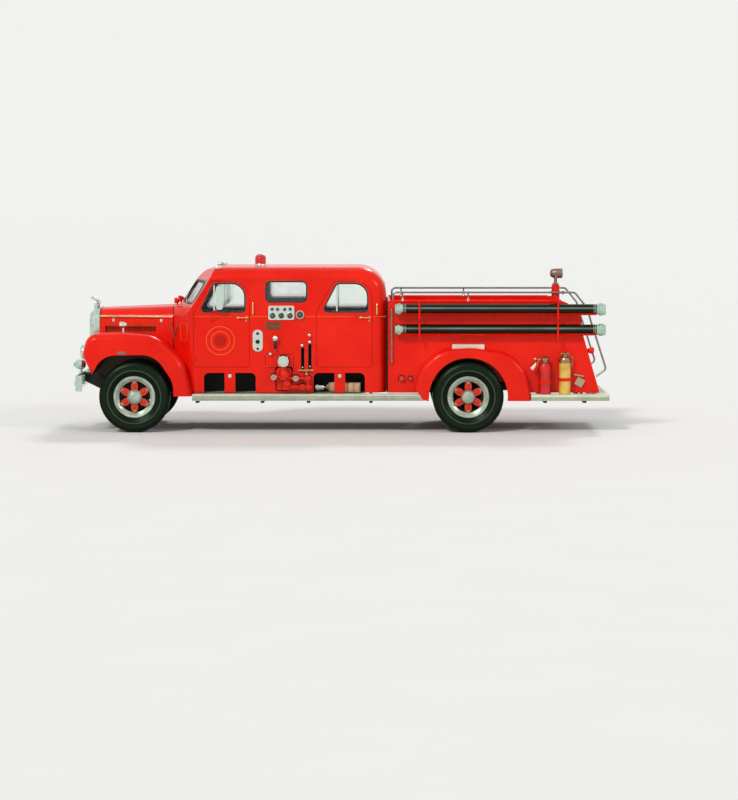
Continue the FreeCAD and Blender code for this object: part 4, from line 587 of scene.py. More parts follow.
def tread_material(name):
    """Tread plate: worn enamel over raised diamonds, with painted light making the boards' tops paler."""
    n = Nodes(name)
    mapping = n.node("Mapping", Vector=n.coords, Rotation=(0, 0, math.radians(45)), Scale=(38, 38, 38))
    checks = n.node("TexVoronoi", Vector=mapping.outputs["Vector"], Scale=1.0, Randomness=0.0)
    bumps = n.ramp(checks.outputs["Distance"], (0.12, (1, 1, 1)), (0.3, (0, 0, 0)))
    wear = n.clouds(6.0, 6.0, (0.34, 0.39, 0.24), (0.46, 0.51, 0.34), 0.35, 0.65)
    grime = n.times(n.noise(30.0, 6.0), 0.5)
    tone = n.mix(n.times(grime, 0.5), wear, (0.17, 0.19, 0.12))
    # painted light: everything above the boards' front edges is paler
    pale = n.clouds(6.0, 6.0, (0.56, 0.62, 0.47), (0.70, 0.76, 0.61), 0.35, 0.65)
    tops = n.inside({"Z": (0.5475, 1.60)})
    n.set(Base_Color=n.mix(tops, tone, pale), Roughness=0.42, Metallic=0.1)
    n.bump(bumps, 0.5, 0.002)


def leather(name):
    """Dark leather with a pebbled grain."""
    n = Nodes(name)
    cells = n.node("TexVoronoi", Vector=n.coords, Scale=260.0)
    n.set(
        Base_Color=n.clouds(9.0, 5.0, (0.020, 0.014, 0.012), (0.055, 0.038, 0.030)),
        Roughness=n.follow(n.noise(20.0), 0.2, 0.35),
    )
    n.bump(cells.outputs["Distance"], 0.35, 0.001)


def canvas(name, colour):
    """Woven jacket: two crossing waves for warp and weft, with faint soiling."""
    n = Nodes(name)
    n.set(
        Base_Color=n.clouds(12.0, 6.0, tuple(c * 0.66 for c in colour), colour),
        Roughness=0.9,
        Sheen_Weight=0.2,
    )
    n.bump(n.times(n.wave("X", 90.0), n.wave("Z", 90.0)), 0.6, 0.0015)


def wood(name):
    """Varnished wood with its grain along x."""
    n = Nodes(name)
    grain = n.noise(18.0, 8.0, (0.15, 3.0, 3.0))
    tone = n.ramp(grain, (0.35, (0.26, 0.11, 0.03)), (0.6, (0.50, 0.26, 0.09)), (0.8, (0.60, 0.36, 0.15)))
    n.set(Base_Color=tone, Roughness=0.35, Coat_Weight=0.4)
    n.bump(grain, 0.2, 0.001)


RIM_R = 0.2362                # inside of the silver rim
CAP_R = 0.1125                # hub cap
CAP_OFF = 0.0815              # from the tyre's middle out to the cap


def wheel_material(name, centre, y, spoke_y):
    """Red spokes inside a silver rim, a bright cap and gaps between the spokes painted black as shade, told
    apart by their place.
    """
    n = Nodes(name)
    r = n.radius(centre)
    off = n.off_centre()
    rim = n.above(r, RIM_R)
    cap = n.times(n.below(r, CAP_R), n.above(off, y + CAP_OFF))
    bright_part = n.most(rim, cap)
    cast = n.clouds(28.0, 6.0, (0.26, 0.02, 0.012), (0.60, 0.035, 0.018))
    silver = n.clouds(10.0, 5.0, (0.27, 0.33, 0.25), (0.50, 0.58, 0.47))
    # painted shade: black in the gaps between the spokes
    behind = n.times(n.below(off, spoke_y), n.below(r, RIM_R))
    n.set(
        Base_Color=n.mix(behind, n.mix(bright_part, cast, silver), UNDERSEAL_AND_SHADE),
        Metallic=n.times(bright_part, 0.6),
        Roughness=n.less(0.5, n.times(bright_part, 0.2)),
        Specular_IOR_Level=0.25,
    )
    n.bump(n.noise(90.0, 4.0), 0.2, 0.001)


# painted light on the wall: painted shade by the bead, a painted highlight ring on the rib, a lighter band of
# painted sheen and painted shade towards the tread
WALL_LIGHT_AND_SHADE = (                      # colour of the tyre's wall at each radius
    (0.290, (0.0022, 0.0042, 0.0030)), (0.390, (0.0028, 0.0055, 0.0035)), (0.3965, (0.030, 0.044, 0.028)),
    (0.404, (0.115, 0.150, 0.098)), (0.4115, (0.022, 0.036, 0.021)), (0.420, (0.0065, 0.0150, 0.0070)),
    (0.470, (0.0075, 0.0160, 0.0075)), (0.500, (0.0040, 0.0080, 0.0040)), (0.530, (0.0020, 0.0032, 0.0022)),
)


def tyre_material(name, centre):
    """Greenish black rubber with painted light on the wall: a dark bead zone and a darker tread as painted
    shade, a painted highlight ring and a lighter band of painted sheen.
    """
    n = Nodes(name)
    inner, width = 0.29, 0.25
    scaled = n.math("DIVIDE", n.less(n.radius(centre), inner), width, clamp=True)
    wall = n.ramp(scaled, *[((r - inner) / width, colour) for r, colour in WALL_LIGHT_AND_SHADE])
    dust = n.times(n.noise(14.0, 6.0), 0.7, clamp=True)
    n.set(
        Base_Color=n.mix(dust, wall, (0.0030, 0.0065, 0.0030)),
        Roughness=n.follow(n.noise(40.0, 4.0), 0.2, 0.26),
        Specular_IOR_Level=0.13,
        Specular_Tint=(0.7, 1.0, 0.7, 1.0),
    )
    n.bump(n.noise(260.0, 4.0), 0.25, 0.0004)


def suction_rubber(name):
    """Black suction hose with a painted highlight line along its upper side, broken in patches."""
    n = Nodes(name)
    black = n.clouds(14.0, 6.0, (0.0010, 0.0015, 0.0010), (0.0045, 0.0060, 0.0042))
    half_line = 0.020
    # painted highlight: a pale line a little above each hose's axis
    line = 0.0
    for z in HOSE_Z:
        away = n.math("ABSOLUTE", n.less(n.axis("Z"), z * MM + 0.020))
        line = n.add(n.less(1.0, n.math("DIVIDE", away, half_line), clamp=True), line)
    patchy = n.follow(n.noise(3.0, 3.0, (0.5, 1.0, 1.0)), 1.1, 0.15)
    n.set(
        Base_Color=n.mix(n.times(line, patchy, clamp=True), black, (0.26, 0.32, 0.23)),
        Roughness=n.follow(n.noise(40.0, 4.0), 0.15, 0.12),
        Specular_IOR_Level=0.22,
        Specular_Tint=(0.8, 1.0, 0.8, 1.0),
    )
    n.bump(n.noise(60.0, 4.0), 0.15, 0.0001)


def bottle_enamel(name):
    """Red and yellow bottles with brass valves and a pale horn, told apart by where they stand."""
    n = Nodes(name)
    between, left_edge, right_edge, horn_edge = (at(x, 0, 0).x for x in (6400, 6148, 6637, 6108))
    red = n.clouds(8.0, 5.0, RED_DEEP, RED)
    gold = n.clouds(8.0, 5.0, (0.55, 0.30, 0.03), (0.80, 0.55, 0.10))
    tone = n.mix(n.above(n.axis("X"), between), red, gold)
    beside = n.most(n.below(n.axis("X"), left_edge), n.above(n.axis("X"), right_edge))
    fittings = n.most(n.above(n.axis("Z"), 1.062), beside)
    horn = n.below(n.axis("X"), horn_edge)
    metal = n.less(fittings, horn, clamp=True)
    tone = n.mix(metal, tone, (0.34, 0.23, 0.12))
    n.set(
        Base_Color=n.mix(horn, tone, (0.74, 0.70, 0.52)),
        Metallic=metal,
        Roughness=n.follow(n.noise(30.0, 4.0), 0.2, 0.2),
        Coat_Weight=0.15,
    )
    n.bump(n.noise(140.0, 3.0), 0.05, 0.0006)


def body_enamels():
    """The enamels of the body's own panels, with what differs inside and beside them."""
    paint("red_enamel")
    paint("roof_enamel", roof=True)
    apron = {"Y": (0.50, 0.64), "X": span(-720, 700), "Z": (0.40, 1.36)}
    # the front wheelhouses are black: underseal, and painted shade inside them
    paint("fender_enamel", zones=[(apron, UNDERSEAL_AND_SHADE)], arches=[(FRONT_AXLE, 0.95, ARCH_OUT)])
    slats = {"Y": (-1.0, 0.960), "X": span(3880, 6900), "Z": (1.3455, 1.3605)}
    # the rear wheelhouses are black: underseal, and painted shade inside them
    paint("body_enamel", arches=[(REAR_AXLE, 0.72, ARCH_OUT)], timber=[slats])
    handles = [{"Y": (0.9866, 1.3), "X": span(1490 + dx, 1765 + dx)} for _, dx in DOOR_ENDS]
    vent = {"Y": (0.930, 0.9705), "Z": (1.836, 2.258)}
    # the doors' inner faces: lining, which is also painted shade
    paint("door_enamel", chrome=[vent], warm=handles, zones=[({"Y": (0.5, 0.9415)}, LINING_AND_SHADE)])
    # the cab's inner faces: lining, which is also painted shade
    cab_zones = [({"Y": (-1.0, 0.9275), "X": span(930, 3660), "Z": (1.0, 2.45)}, LINING_AND_SHADE),
                 ({"Y": (-1.0, 0.80), "X": span(3659, 3791.5), "Z": (1.0, 2.05)}, LINING_AND_SHADE),
                 ({"Y": (-1.0, 0.040), "X": span(560, 960), "Z": (1.955, 2.295)}, UNDERSEAL_AND_SHADE)]
    paint("cab_enamel", warm=[{"Y": (0.9866, 1.3), "Z": (1.75, 2.1)}], zones=cab_zones)
    # two orange-brown stripes along the bonnet's crease lines: painted highlight
    crease_highlight = (0.30, 0.085, 0.018)
    # the louvre blades get a darker red, and no shine: painted shade in the slots
    shaded_louvres = {"X": span(-505, 290), "Z": (1.511, 1.587)}
    bonnet_zones = [({"X": span(-550, 390), "Z": (1.7195, 1.7405)}, crease_highlight),
                    ({"X": span(-500, 320), "Z": (1.6135, 1.6305)}, crease_highlight),
                    (shaded_louvres, (0.30, 0.018, 0.006))]
    paint("bonnet_enamel", zones=bonnet_zones, matt=[shaded_louvres])


ENAMELS = {                   # own colour, film, faded
    # darker orange-brown of the rear arch beads: painted shading of the fender's roll
    "arch_shade_enamel": ((0.52, 0.040, 0.009), (0.22, 0.010, 0.003), (0.66, 0.075, 0.016)),
    # dark red of the sheets inside the louvred panels: painted shade
    "louvre_shade_enamel": ((0.34, 0.022, 0.006), (0.14, 0.008, 0.003), (0.42, 0.030, 0.008)),
    "spoke_enamel": ((0.62, 0.022, 0.012), (0.12, 0.006, 0.004), (0.76, 0.060, 0.030)),
    # orange of the beads and of the vent's seam: painted highlight
    "orange_highlight_enamel": ((0.84, 0.07, 0.010), RED, (0.90, 0.20, 0.03)),
    "disc_enamel": ((0.46, 0.006, 0.004), RED_DEEP, (0.56, 0.010, 0.006)),
}
METALS = {                    # colour, roughness, tarnish
    "chrome": (CHROME, 0.12, 0.5),
    "steel": ((0.44, 0.47, 0.44), 0.25, 0.5),
    "rail_steel": ((0.26, 0.29, 0.25), 0.3, 0.5),
    "aged_metal": ((0.30, 0.20, 0.16), 0.32, 0.7),
    "coupling_alloy": ((0.52, 0.72, 0.57), 0.2, 0.5),
    "brass": (BRASS, 0.2, 0.5),
    "panel_bright": (PLATE, 0.2, 0.5),
    "mirror_silver_left": ((0.85, 0.87, 0.87), 0.03, 0.1),
    "mirror_silver_right": ((0.85, 0.87, 0.87), 0.03, 0.1),
}
COATINGS = {
    "ring_enamel": dict(colour=(0.90, 0.13, 0.030), rough=0.4, vary=0.15, spec=0.2, tint=GLOW),
    "plate_brown": dict(colour=(0.13, 0.052, 0.018), rough=0.35, spec=0.3),
    "black_rubber": dict(colour=(0.010, 0.010, 0.010), rough=0.5, spec=0.25),
    "chassis_black": dict(colour=(0.012, 0.012, 0.012), rough=0.5, grain=60.0, spec=0.25),
    "engine_grey": dict(colour=(0.10, 0.11, 0.11), rough=0.6, grain=50.0, depth=0.002),
    "floor_mat": dict(colour=(0.020, 0.019, 0.018), rough=0.8, grain=140.0, depth=0.002),
    "dash_black": dict(colour=(0.016, 0.016, 0.016), rough=0.35, coat=0.3),
    "dial_black": dict(colour=(0.010, 0.014, 0.012), rough=0.2, grain=60.0, depth=0.0001, coat=0.6),
    "dial_white": dict(colour=(0.80, 0.80, 0.74), rough=0.4, depth=0.0001, vary=0.1),
    "recess_black": dict(colour=(0.004, 0.004, 0.004), rough=0.9, spec=0.1),
}
LENSES = {
    "red_lens": (0.92, 0.020, 0.030),
    "clear_lens": (0.86, 0.90, 0.88),
    "amber_lens": (0.80, 0.25, 0.02),
    "pink_lens": (0.84, 0.52, 0.50),
}


def fitting_finishes():
    """The finishes of nodes that hold parts of several colours."""
    casting = ((0.62, 0.005, 0.002), (0.20, 0.003, 0.002), (0.86, 0.03, 0.012))
    # its faces turned away from the sides get painted shade
    paint("casting_enamel", casting, edge_shade=0.85)
    paint("lamp_finish", chrome=[{"X": span(-1000, -100)}, {"X": span(1200, 1400)}])
    paint("mirror_finish", chrome=[{"Z": (1.868, 2.3)}])
    step_plate = {"X": span(6688, 6872), "Z": (0.665, 0.895), "Y": (1.008, 1.3)}
    outlets = {"X": span(4015, 4240), "Z": (0.77, 0.87), "Y": (1.019, 1.3)}
    paint("fitting_enamel", zones=[(step_plate, (0.40, 0.34, 0.22)), (outlets, (0.70, 0.13, 0.08))])
    caps = [({"X": span(x - 62, x + 62), "Z": (0.76, 0.91), "Y": (1.0, 1.3)}, COPPER, 0.8, 0.3)
            for x in (2120, 2457)]
    plates = ({"X": span(1985, 2231), "Z": (1.555, 1.684)}, (0.16, 0.07, 0.03), 0.4, 0.4)
    zoned("panel_alloy", (PLATE, 1.0, 0.2), caps + [plates])
    pans = [({"X": span(low, high), "Y": (0.62, 0.935), "Z": (0.590, 0.6035)}, (0.46, 0.48, 0.32), 0.0, 0.5)
            for low, high in ((1054, 1841), (2725, 3506))]
    zoned("box_finish", (UNDERSEAL_AND_SHADE, 0.0, 0.6), pans)


def make_materials():
    """Every material of the script, by name."""
    body_enamels()
    fitting_finishes()
    for name, tones in ENAMELS.items():
        paint(name, tones)
    for name, (colour, rough, tarnish) in METALS.items():
        bright(name, colour, rough, tarnish)
    for name, values in COATINGS.items():
        coated(name, **values)
    for name, colour in LENSES.items():
        lens(name, colour)
    tyre_material("tyre_rubber_front", FRONT_AXLE)
    tyre_material("tyre_rubber_rear", REAR_AXLE)
    wheel_material("front_wheel_cast", FRONT_AXLE, 1.0, 1.0185)
    wheel_material("rear_wheel_cast", REAR_AXLE, 1.030, 1.0335)
    suction_rubber("suction_rubber")
    tread_material("tread_plate")
    leather("seat_leather")
    canvas("hose_canvas", (0.72, 0.47, 0.28))
    wood("ladder_wood")
    glass("window_glass", (0.88, 0.96, 0.90), 0.4)
    glass("screen_glass", (0.94, 0.98, 0.95), 0.8, 1.55)
    bottle_enamel("bottle_enamel")


# ---------------------------------------------------------------- CAD nodes' finishes
FINISHES = {
    "red_enamel": "side_racks mast_post",
    "roof_enamel": "cab_roof",
    "fender_enamel": "front_fenders",
    "body_enamel": "rear_fenders hose_body",
    "casting_enamel": "fire_pump",
    "fitting_enamel": "side_fittings",
    "cab_enamel": "cab_body",
    "door_enamel": "door_front_left door_front_right door_rear_left door_rear_right",
    "bonnet_enamel": "bonnet_left bonnet_right bonnet_sides",
    "bottle_enamel": "extinguishers",
    "chrome": "radiator_shell radiator_grille front_bumper",
    "panel_alloy": "panel_fittings",
    "lamp_finish": "lamps",
    "mirror_finish": "mirror_left mirror_right",
    "coupling_alloy": "suction_couplings",
    "rail_steel": "handrails",
    "aged_metal": "mast_swivel searchlight",
    "chassis_black": "frame_rails frame_members leaf_springs front_axle rear_axle knuckle_left knuckle_right"
                     " tie_rod",
    "engine_grey": "powertrain",
    "floor_mat": "cab_floor",
    "box_finish": "cab_boxes",
    "dash_black": "dashboard",
    "tread_plate": "tread_boards",
    "suction_rubber": "suction_hoses",
    "ladder_wood": "ladders",
    "screen_glass": "cab_glass",
    "window_glass": "door_glass_front_left door_glass_front_right door_glass_rear_left door_glass_rear_right",
    "red_lens": "beacon",
    "front_wheel_cast": "front_wheel_left front_wheel_right",
    "rear_wheel_cast": "rear_wheel_left rear_wheel_right",
}


def finish_nodes():
    """Gives each CAD node its finish."""
    for finish, names in FINISHES.items():
        for name in names.split():
            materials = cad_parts[name].data.materials
            if not materials:
                materials.append(None)
            for i in range(len(materials)):
                materials[i] = MATERIALS[finish]


# ---------------------------------------------------------------- tyres and wheels
LUGS = 54                     # round a tyre, in each shoulder
REAR_TWINS = (("outer", 1030), ("inner", 715))


def tyre_bm(centre):
    """A blank-walled truck tyre: ribbed walls, shoulder lugs and four zigzag ribs."""
    r = TYRE_R
    half = [
        (300, 95), (321, 98), (326, 106), (333, 108), (352, 119), (372, 128), (392, 133.5), (396, 137),
        (412, 137.8), (416, 136.6), (440, 137.4), (462, 136.2), (466, 138.5), (474, 138.2), (480, 133.5),
        (500, 127.5), (518, 118), (527, 108), (r - 12, 100), (r - 12, 60), (r - 11.5, 30),
    ]
    bm = lathe(half + [(a, -b) for a, b in reversed(half)], centre, (0, 1, 0), 120, closed=True)
    for i in range(LUGS):
        for row in (-1, 1):
            y0, y1 = sorted((row * 62, row * 119))
            lug = block(Vector((r - 26, y0, -21)) * MM, Vector((r - 0.8, y1, 21)) * MM, 3, 1)
            for v in lug.verts:
                if abs(v.co.y) > 0.1 and v.co.x > (r - 10) * MM:
                    v.co.x -= 0.010
            turn = Matrix.Rotation(2 * math.pi * (i + 0.25 * row) / LUGS, 4, "Y")
            lug.transform(Matrix.Translation(centre) @ turn)
            merge(bm, lug)
    for row in (-1, 1):
        for offset in (16.5, 44.5):
            merge(bm, zigzag_rib(centre, row * offset))
    return bm


def zigzag_rib(centre, offset):
    """One zigzag rib of the tread, all the way round."""
    half, foot, top, amplitude = 10.5, TYRE_R - 14, TYRE_R - 0.6, 4
    section = [(foot, -half), (top, -half * 0.85), (top, half * 0.85), (foot, half)]
    rings = []
    for i in range(2 * LUGS):
        a = math.pi * i / LUGS
        y = offset + (amplitude if i % 2 else -amplitude)
        rings.append([centre + Vector((math.cos(a) * r, y + w, math.sin(a) * r)) * MM for r, w in section])
    return skin(rings, looped=True)


def tyre(name, axle, y, end, side):
    """A tyre as a piece that turns with its wheel."""
    bm = tyre_bm(Vector((axle.x, y * MM, axle.z)))
    return add_object(name, bm, "tyre_rubber_" + end, "wheel_%s_%s" % (end, side), 35)


def tyres():
    """Front tyres, and the rear twins on each wheel body."""
    for side, s in SIDES:
        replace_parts(tyre("tyre_front_" + side, FRONT_AXLE, s * 1000, "front", side), "front_tyre_" + side)
        pair = [tyre("tyre_rear_%s_%s" % (twin, side), REAR_AXLE, s * y, "rear", side)
                for twin, y in REAR_TWINS]
        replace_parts(pair[0], "rear_tyres_" + side)


WHEELS = (                    # end, axle, middle of the tyre, face of the spokes, face of the cap
    ("front", FRONT_AXLE, 1000, 1062, 1092),
    ("rear", REAR_AXLE, 1030, 1082, 1102),
)


def wheel_details():
    """Domed spokes, rim clamps and studs at their ends, nuts round the cap, and a valve."""
    for side, s in SIDES:
        out = Vector((0, s, 0))
        for end, axle, y, face, cap_face in WHEELS:
            hub = Vector((axle.x, 0, axle.z))
            studs, lobes = bmesh.new(), bmesh.new()
            for i in range(6):
                arm = arm_at(60 * i + 30)
                merge(lobes, spoke_lobe(hub + out * ((face - 1) * MM), arm, out))
                p = hub + out * ((face + 7) * MM) + arm * 0.214
                merge(studs, lathe(disc(17, 6), p, out, 16))
                merge(studs, lathe([(0, 5), (13.5, 5), (13.5, 21), (10, 24), (0, 24)], p, out, 6))
                merge(studs, lathe([(0, 20), (6, 20), (6, 33), (0, 34)], p, out, 8))
            for i in range(8):
                p = hub + out * ((cap_face - 1) * MM) + arm_at(45 * i) * 0.098
                merge(studs, bolt(p, out, 7.8, 10))
            line = ((262, 55), (252, 75), (242, 100))
            merge(studs, sweep([hub + Vector((x, s * (y + off), 0)) * MM for x, off in line], 4.5, 8))
            wheel = "%s_%s" % (end, side)
            add_object("wheel_studs_" + wheel, studs, "steel", "wheel_" + wheel, 30)
            add_object("spoke_lobes_" + wheel, lobes, "spoke_enamel", "wheel_" + wheel, 60)


# a spoke's outline: distance from the hub, place across the spoke, radius of the corner
LOBE = [(104, -44, 4), (104, 44, 4), (140, 55, 22), (190, 50, 24), (233, 33, 10), (233, -33, 10),
        (190, -50, 24), (140, -55, 22)]


def spoke_lobe(centre, arm, out):
    """A cast spoke's rounded front: a domed plate with a raised rib along its middle."""
    across = arm.cross(out)

    def place(a, b, h):
        return centre + arm * (a * MM) + across * (b * MM) + out * (h * MM)

    bm = plate(rounded(LOBE, 0), place, 8, 5)
    rib = [place(a, 0, h) for a, h in ((106, 6), (130, 10), (165, 11), (188, 8), (196, 3))]
    merge(bm, sweep(rib, [10, 16, 15, 10, 4], 12))
    return bm


# ---------------------------------------------------------------- windows and doors
# corners of the front doors' windows, the middle windows and the front doors' edges: x, z, radius
DOOR_WINDOW = [(1000, 1842, 35), (1215, 2254, 60), (1670, 2254, 190), (1670, 1842, 40)]
MID_WINDOW = [(2011, 1995, 60), (2011, 2281, 60), (2611, 2281, 60), (2611, 1995, 60)]
DOOR_EDGE = [(895, 987, 40), (895, 1830, 120), (1160, 2300, 90), (1752, 2300, 270), (1752, 987, 40)]
RUBBER_WIDTH = 19


def window_trims():
    """Black rubber with a bright bead round each side window."""
    for side, s in SIDES:
        for end, dx in DOOR_ENDS:
            door = "door_%s_%s" % (end, side)
            add_window(door, [(x + dx, z, r) for x, z, r in DOOR_WINDOW], door, s)
        add_window("mid_" + side, MID_WINDOW, "chassis", s)


def add_window(name, corners, body, s):
    """The rubber and the bead round one window."""
    place = on_side(s, UPPER)
    rubber = frame_strip(rounded(corners, 0, 6), place, RUBBER_WIDTH, 4, inward=False)
    add_object("rubber_" + name, rubber, "black_rubber", body, 50)
    outer = rounded([grow(c, corners, RUBBER_WIDTH) for c in corners], 0, 6)
    add_object("bead_" + name, frame_strip(outer, place, 5, 6, inward=False), "rail_steel", body, 50)


def grow(corner, corners, by):
    """A corner moved away from the middle of its outline, for the next ring out."""
    cx = sum(c[0] for c in corners) / len(corners)
    cz = sum(c[1] for c in corners) / len(corners)
    x, z, r = corner
    return (x + (by if x > cx else -by), z + (by if z > cz else -by), r + by)


def door_seals():
    """A dark rubber seal that fills the gap round each door."""
    for side, s in SIDES:
        for end, dx in DOOR_ENDS:
            points = rounded([(x + dx, z, r) for x, z, r in DOOR_EDGE], 0, 6)
            strip = frame_strip(points, on_side(s, 948, -1), 24, 12)
            add_object("seal_%s_%s" % (end, side), strip, "black_rubber", smooth=50)


def emblem_rings():
    """Two plain orange rings on each front door, round a small darker disc."""
    for side, s in SIDES:
        bm = bmesh.new()
        centre, out = at(1305, s * (SKIN - 0.5), 1393), (0, s, 0)
        for radius, half in ((215, 5.5), (140, 5.0)):
            low, high = radius - half, radius + half
            merge(bm, lathe([(low, 0), (low, 1.6), (high, 1.6), (high, 0)], centre, out, 96, closed=True))
        door = "door_front_" + side
        add_object("door_rings_" + side, bm, "ring_enamel", door, 30)
        add_object("door_disc_" + side, lathe(disc(92, 1.1), centre, out, 96), "disc_enamel", door, 30)


def keyholes():
    """A lock and the two feet of the handle on each door."""
    for side, s in SIDES:
        for end, dx in DOOR_ENDS:
            lock = [(0, 0), (14, 0), (14, 4), (10, 6), (0, 6)]
            foot = [(0, 0), (21, 0), (21, 3), (15, 8), (0, 8)]
            bm = lathe(lock, at(1700 + dx, s * SKIN, 1700), (0, s, 0), 20)
            for x in (1570, 1712):
                merge(bm, lathe(foot, at(x + dx, s * SKIN, BELT_Z - 20), (0, s, 0), 20))
            add_object("lock_%s_%s" % (end, side), bm, "brass", "door_%s_%s" % (end, side))


# ---------------------------------------------------------------- pump panel
GAUGES_LARGE = ((2104, 1776), (2236, 1776), (2368, 1776))       # x, z
GAUGES_SMALL = ((2096, 1876), (2180, 1872), (2288, 1872), (2372, 1876))
GATES = ((2559, 950, 1285), (2669, 963, 1342))      # x, foot and head of each gate lever's slot
GATE_Y = 1012
LEVER_Y = 1036
CAPS = ((2267, 1087, 83), (2120, 844, 46), (2457, 825, 46))     # x, z, radius; the large one first
CAP_FACE_Y = (1124, 1115)                           # |y| of the large cap's face and of the small ones'
PIPES = ((2300, 870), (2320, 735), (2560, 690), (2640, 820))    # x, z
OUTLETS = ((4067, 42), (4202, 32))                  # x, radius
OUTLET_Z = 820


def gauge(x, z, r, y, turned, marks, rings, faces, lines):
    """A bezel, a dark face, its tick marks and a needle turned by so many degrees."""
    centre = at(x, -y, z)
    bezel = [(r * 0.84, 0), (r * 0.84, 4), (r * 0.93, 9), (r, 5), (r, 0)]
    merge(rings, lathe(bezel, centre, LEFT, 40, closed=True))
    merge(faces, lathe(disc(r * 0.86, 2), centre, LEFT, 40))
    tick = [(0.64, -0.02), (0.78, -0.02), (0.78, 0.02), (0.64, 0.02)]
    for i in range(marks):
        merge(lines, gauge_line(tick, centre, r, -40 + 260 * i / (marks - 1), 2.6))
    needle = [(0, 0.05), (0.68, 0), (0, -0.05), (-0.18, 0)]
    merge(lines, gauge_line(needle, centre, r, turned, 3.2))


def gauge_line(corners, centre, r, degrees, lift):
    """A flat mark on a gauge; its corners run along and across it, as shares of the gauge's radius."""
    a = math.radians(degrees)
    along = Vector((-math.cos(a), 0, math.sin(a)))
    across = Vector((along.z, 0, -along.x))
    bm = bmesh.new()
    points = [along * (r * MM * p) + across * (r * MM * q) for p, q in corners]
    bm.faces.new([bm.verts.new(centre + p + LEFT * (lift * MM)) for p in points])
    return bm


def gauges():
    """Seven small dials on the panel and a larger one behind them, their needles anyhow."""
    rings, faces, lines = bmesh.new(), bmesh.new(), bmesh.new()
    made = (rings, faces, lines)
    rng = random.Random(5)
    for x, z in GAUGES_LARGE:
        gauge(x, z, 46, 1014, rng.uniform(-20, 60), 11, *made)
    for x, z in GAUGES_SMALL:
        gauge(x, z, 27, 1012, rng.uniform(-20, 60), 7, *made)
    gauge(2520, 1790, 60, 1019, 35, 13, *made)
    add_object("gauge_bezels", rings, "chrome")
    add_object("gauge_faces", faces, "dial_black")
    add_object("gauge_marks", lines, "dial_white", smooth=0)


def pump_controls():
    """Knobs on the left control plate; on each side a lever's grip, the gate levers' slots with their rims,
    and the brass crosspiece under them."""
    for side, s in SIDES:
        lever_y, gate_y = s * LEVER_Y, s * GATE_Y
        bm = bmesh.new()
        if side == "left":
            for z, r in ((1504, 21), (1379, 31), (1273, 19)):
                knob = [(0, 0), (r, 0), (r * 1.04, 4), (r * 0.9, 10), (r * 0.5, 12), (0, 12)]
                merge(bm, lathe(knob, at(1875, -1025.5, z), LEFT, 24))
        grip = [at(2143, lever_y, 1386 - 128 * t) for t in (0, 0.08, 0.5, 0.92, 1)]
        merge(bm, sweep(grip, [14, 19, 21, 18, 12], 14))
        add_object("grips_" + side, bm, "black_rubber", smooth=50)
        recesses, rims = bmesh.new(), bmesh.new()
        for x, low, high in GATES:
            outline = oblong(x - 26, low - 8, x + 26, high + 8, 24)
            # black plates inside the slots: painted shade in the openings
            merge(recesses, plate(outline, on_side(s, 957), 2))
            outline = oblong(x - 24, low, x + 24, high, 23)
            merge(rims, frame_strip(outline, on_side(s, SKIN), 4, 4, inward=False))
        add_object("gate_recess_" + side, recesses, "recess_black", smooth=50)
        add_object("gate_rims_" + side, rims, "aged_metal", smooth=50)
        cross = sweep([at(2497, gate_y, 942), at(2725, gate_y, 942)], 16.2, 14)
        ball = bmesh.new()
        bmesh.ops.create_uvsphere(ball, u_segments=20, v_segments=12, radius=27.2 * MM)
        ball.transform(Matrix.Translation(at(2615, gate_y, 880)))
        merge(cross, ball)
        merge(cross, sweep([at(2615, gate_y, 942), at(2615, gate_y, 890)], 13, 12))
        add_object("gate_crosspiece_" + side, cross, "brass", smooth=50)


def nameplates():
    """Two bare dark plates with a rivet in each corner."""
    plates, rivets = bmesh.new(), bmesh.new()
    for low, high in ((1560, 1612), (1627, 1679)):
        merge(plates, plate(oblong(1995, low + 5, 2221, high - 5, 4, 3), on_side(-1, SKIN + 5), 1.2))
        for x in (2001, 2215):
            for z in (low + 10, high - 10):
                merge(rivets, lathe(dome(4, 3, 2, 3), at(x, -SKIN - 5.8, z), LEFT, 10))
    add_object("bare_plates", plates, "plate_brown")
    add_object("bare_plate_rivets", rivets, "chrome")


def panel_details():
    """Rings and lugs on the caps, and the seam and screws of the panel round the large cap."""
    for side, s in SIDES:
        out = Vector((0, s, 0))
        lugs = bmesh.new()
        for x, z, r in CAPS:
            large = r == CAPS[0][2]
            face = at(x, s * CAP_FACE_Y[0 if large else 1], z)
            ring = [(r * 0.55, 0), (r * 0.55, 6), (r * 0.75, 8), (r * 0.8, 3), (r * 0.8, 0)]
            merge(lugs, lathe(ring, face, out, 40, closed=True))
            for k in range(4 if large else 0):
                arm = arm_at(45 + 90 * k)
                p = face + (arm * (r - 4) - out * 20) * MM
                merge(lugs, sweep([p, p + arm * 16 * MM], [11, 8]))
        add_object("cap_lugs_" + side, lugs, "chrome")
        seam = frame_strip(oblong(1989, 981, 2420, 1187, 20, 4), on_side(s, SKIN - 0.4), 5, 1.2)
        add_object("panel_seam_" + side, seam, "recess_black")
        screws = bmesh.new()
        for x in (2010, 2200, 2400):
            for z in (1002, 1166):
                merge(screws, lathe(dome(7, 5, 3, 3.5), at(x, s * SKIN, z), out, 12))
        add_object("panel_screws_" + side, screws, "steel")


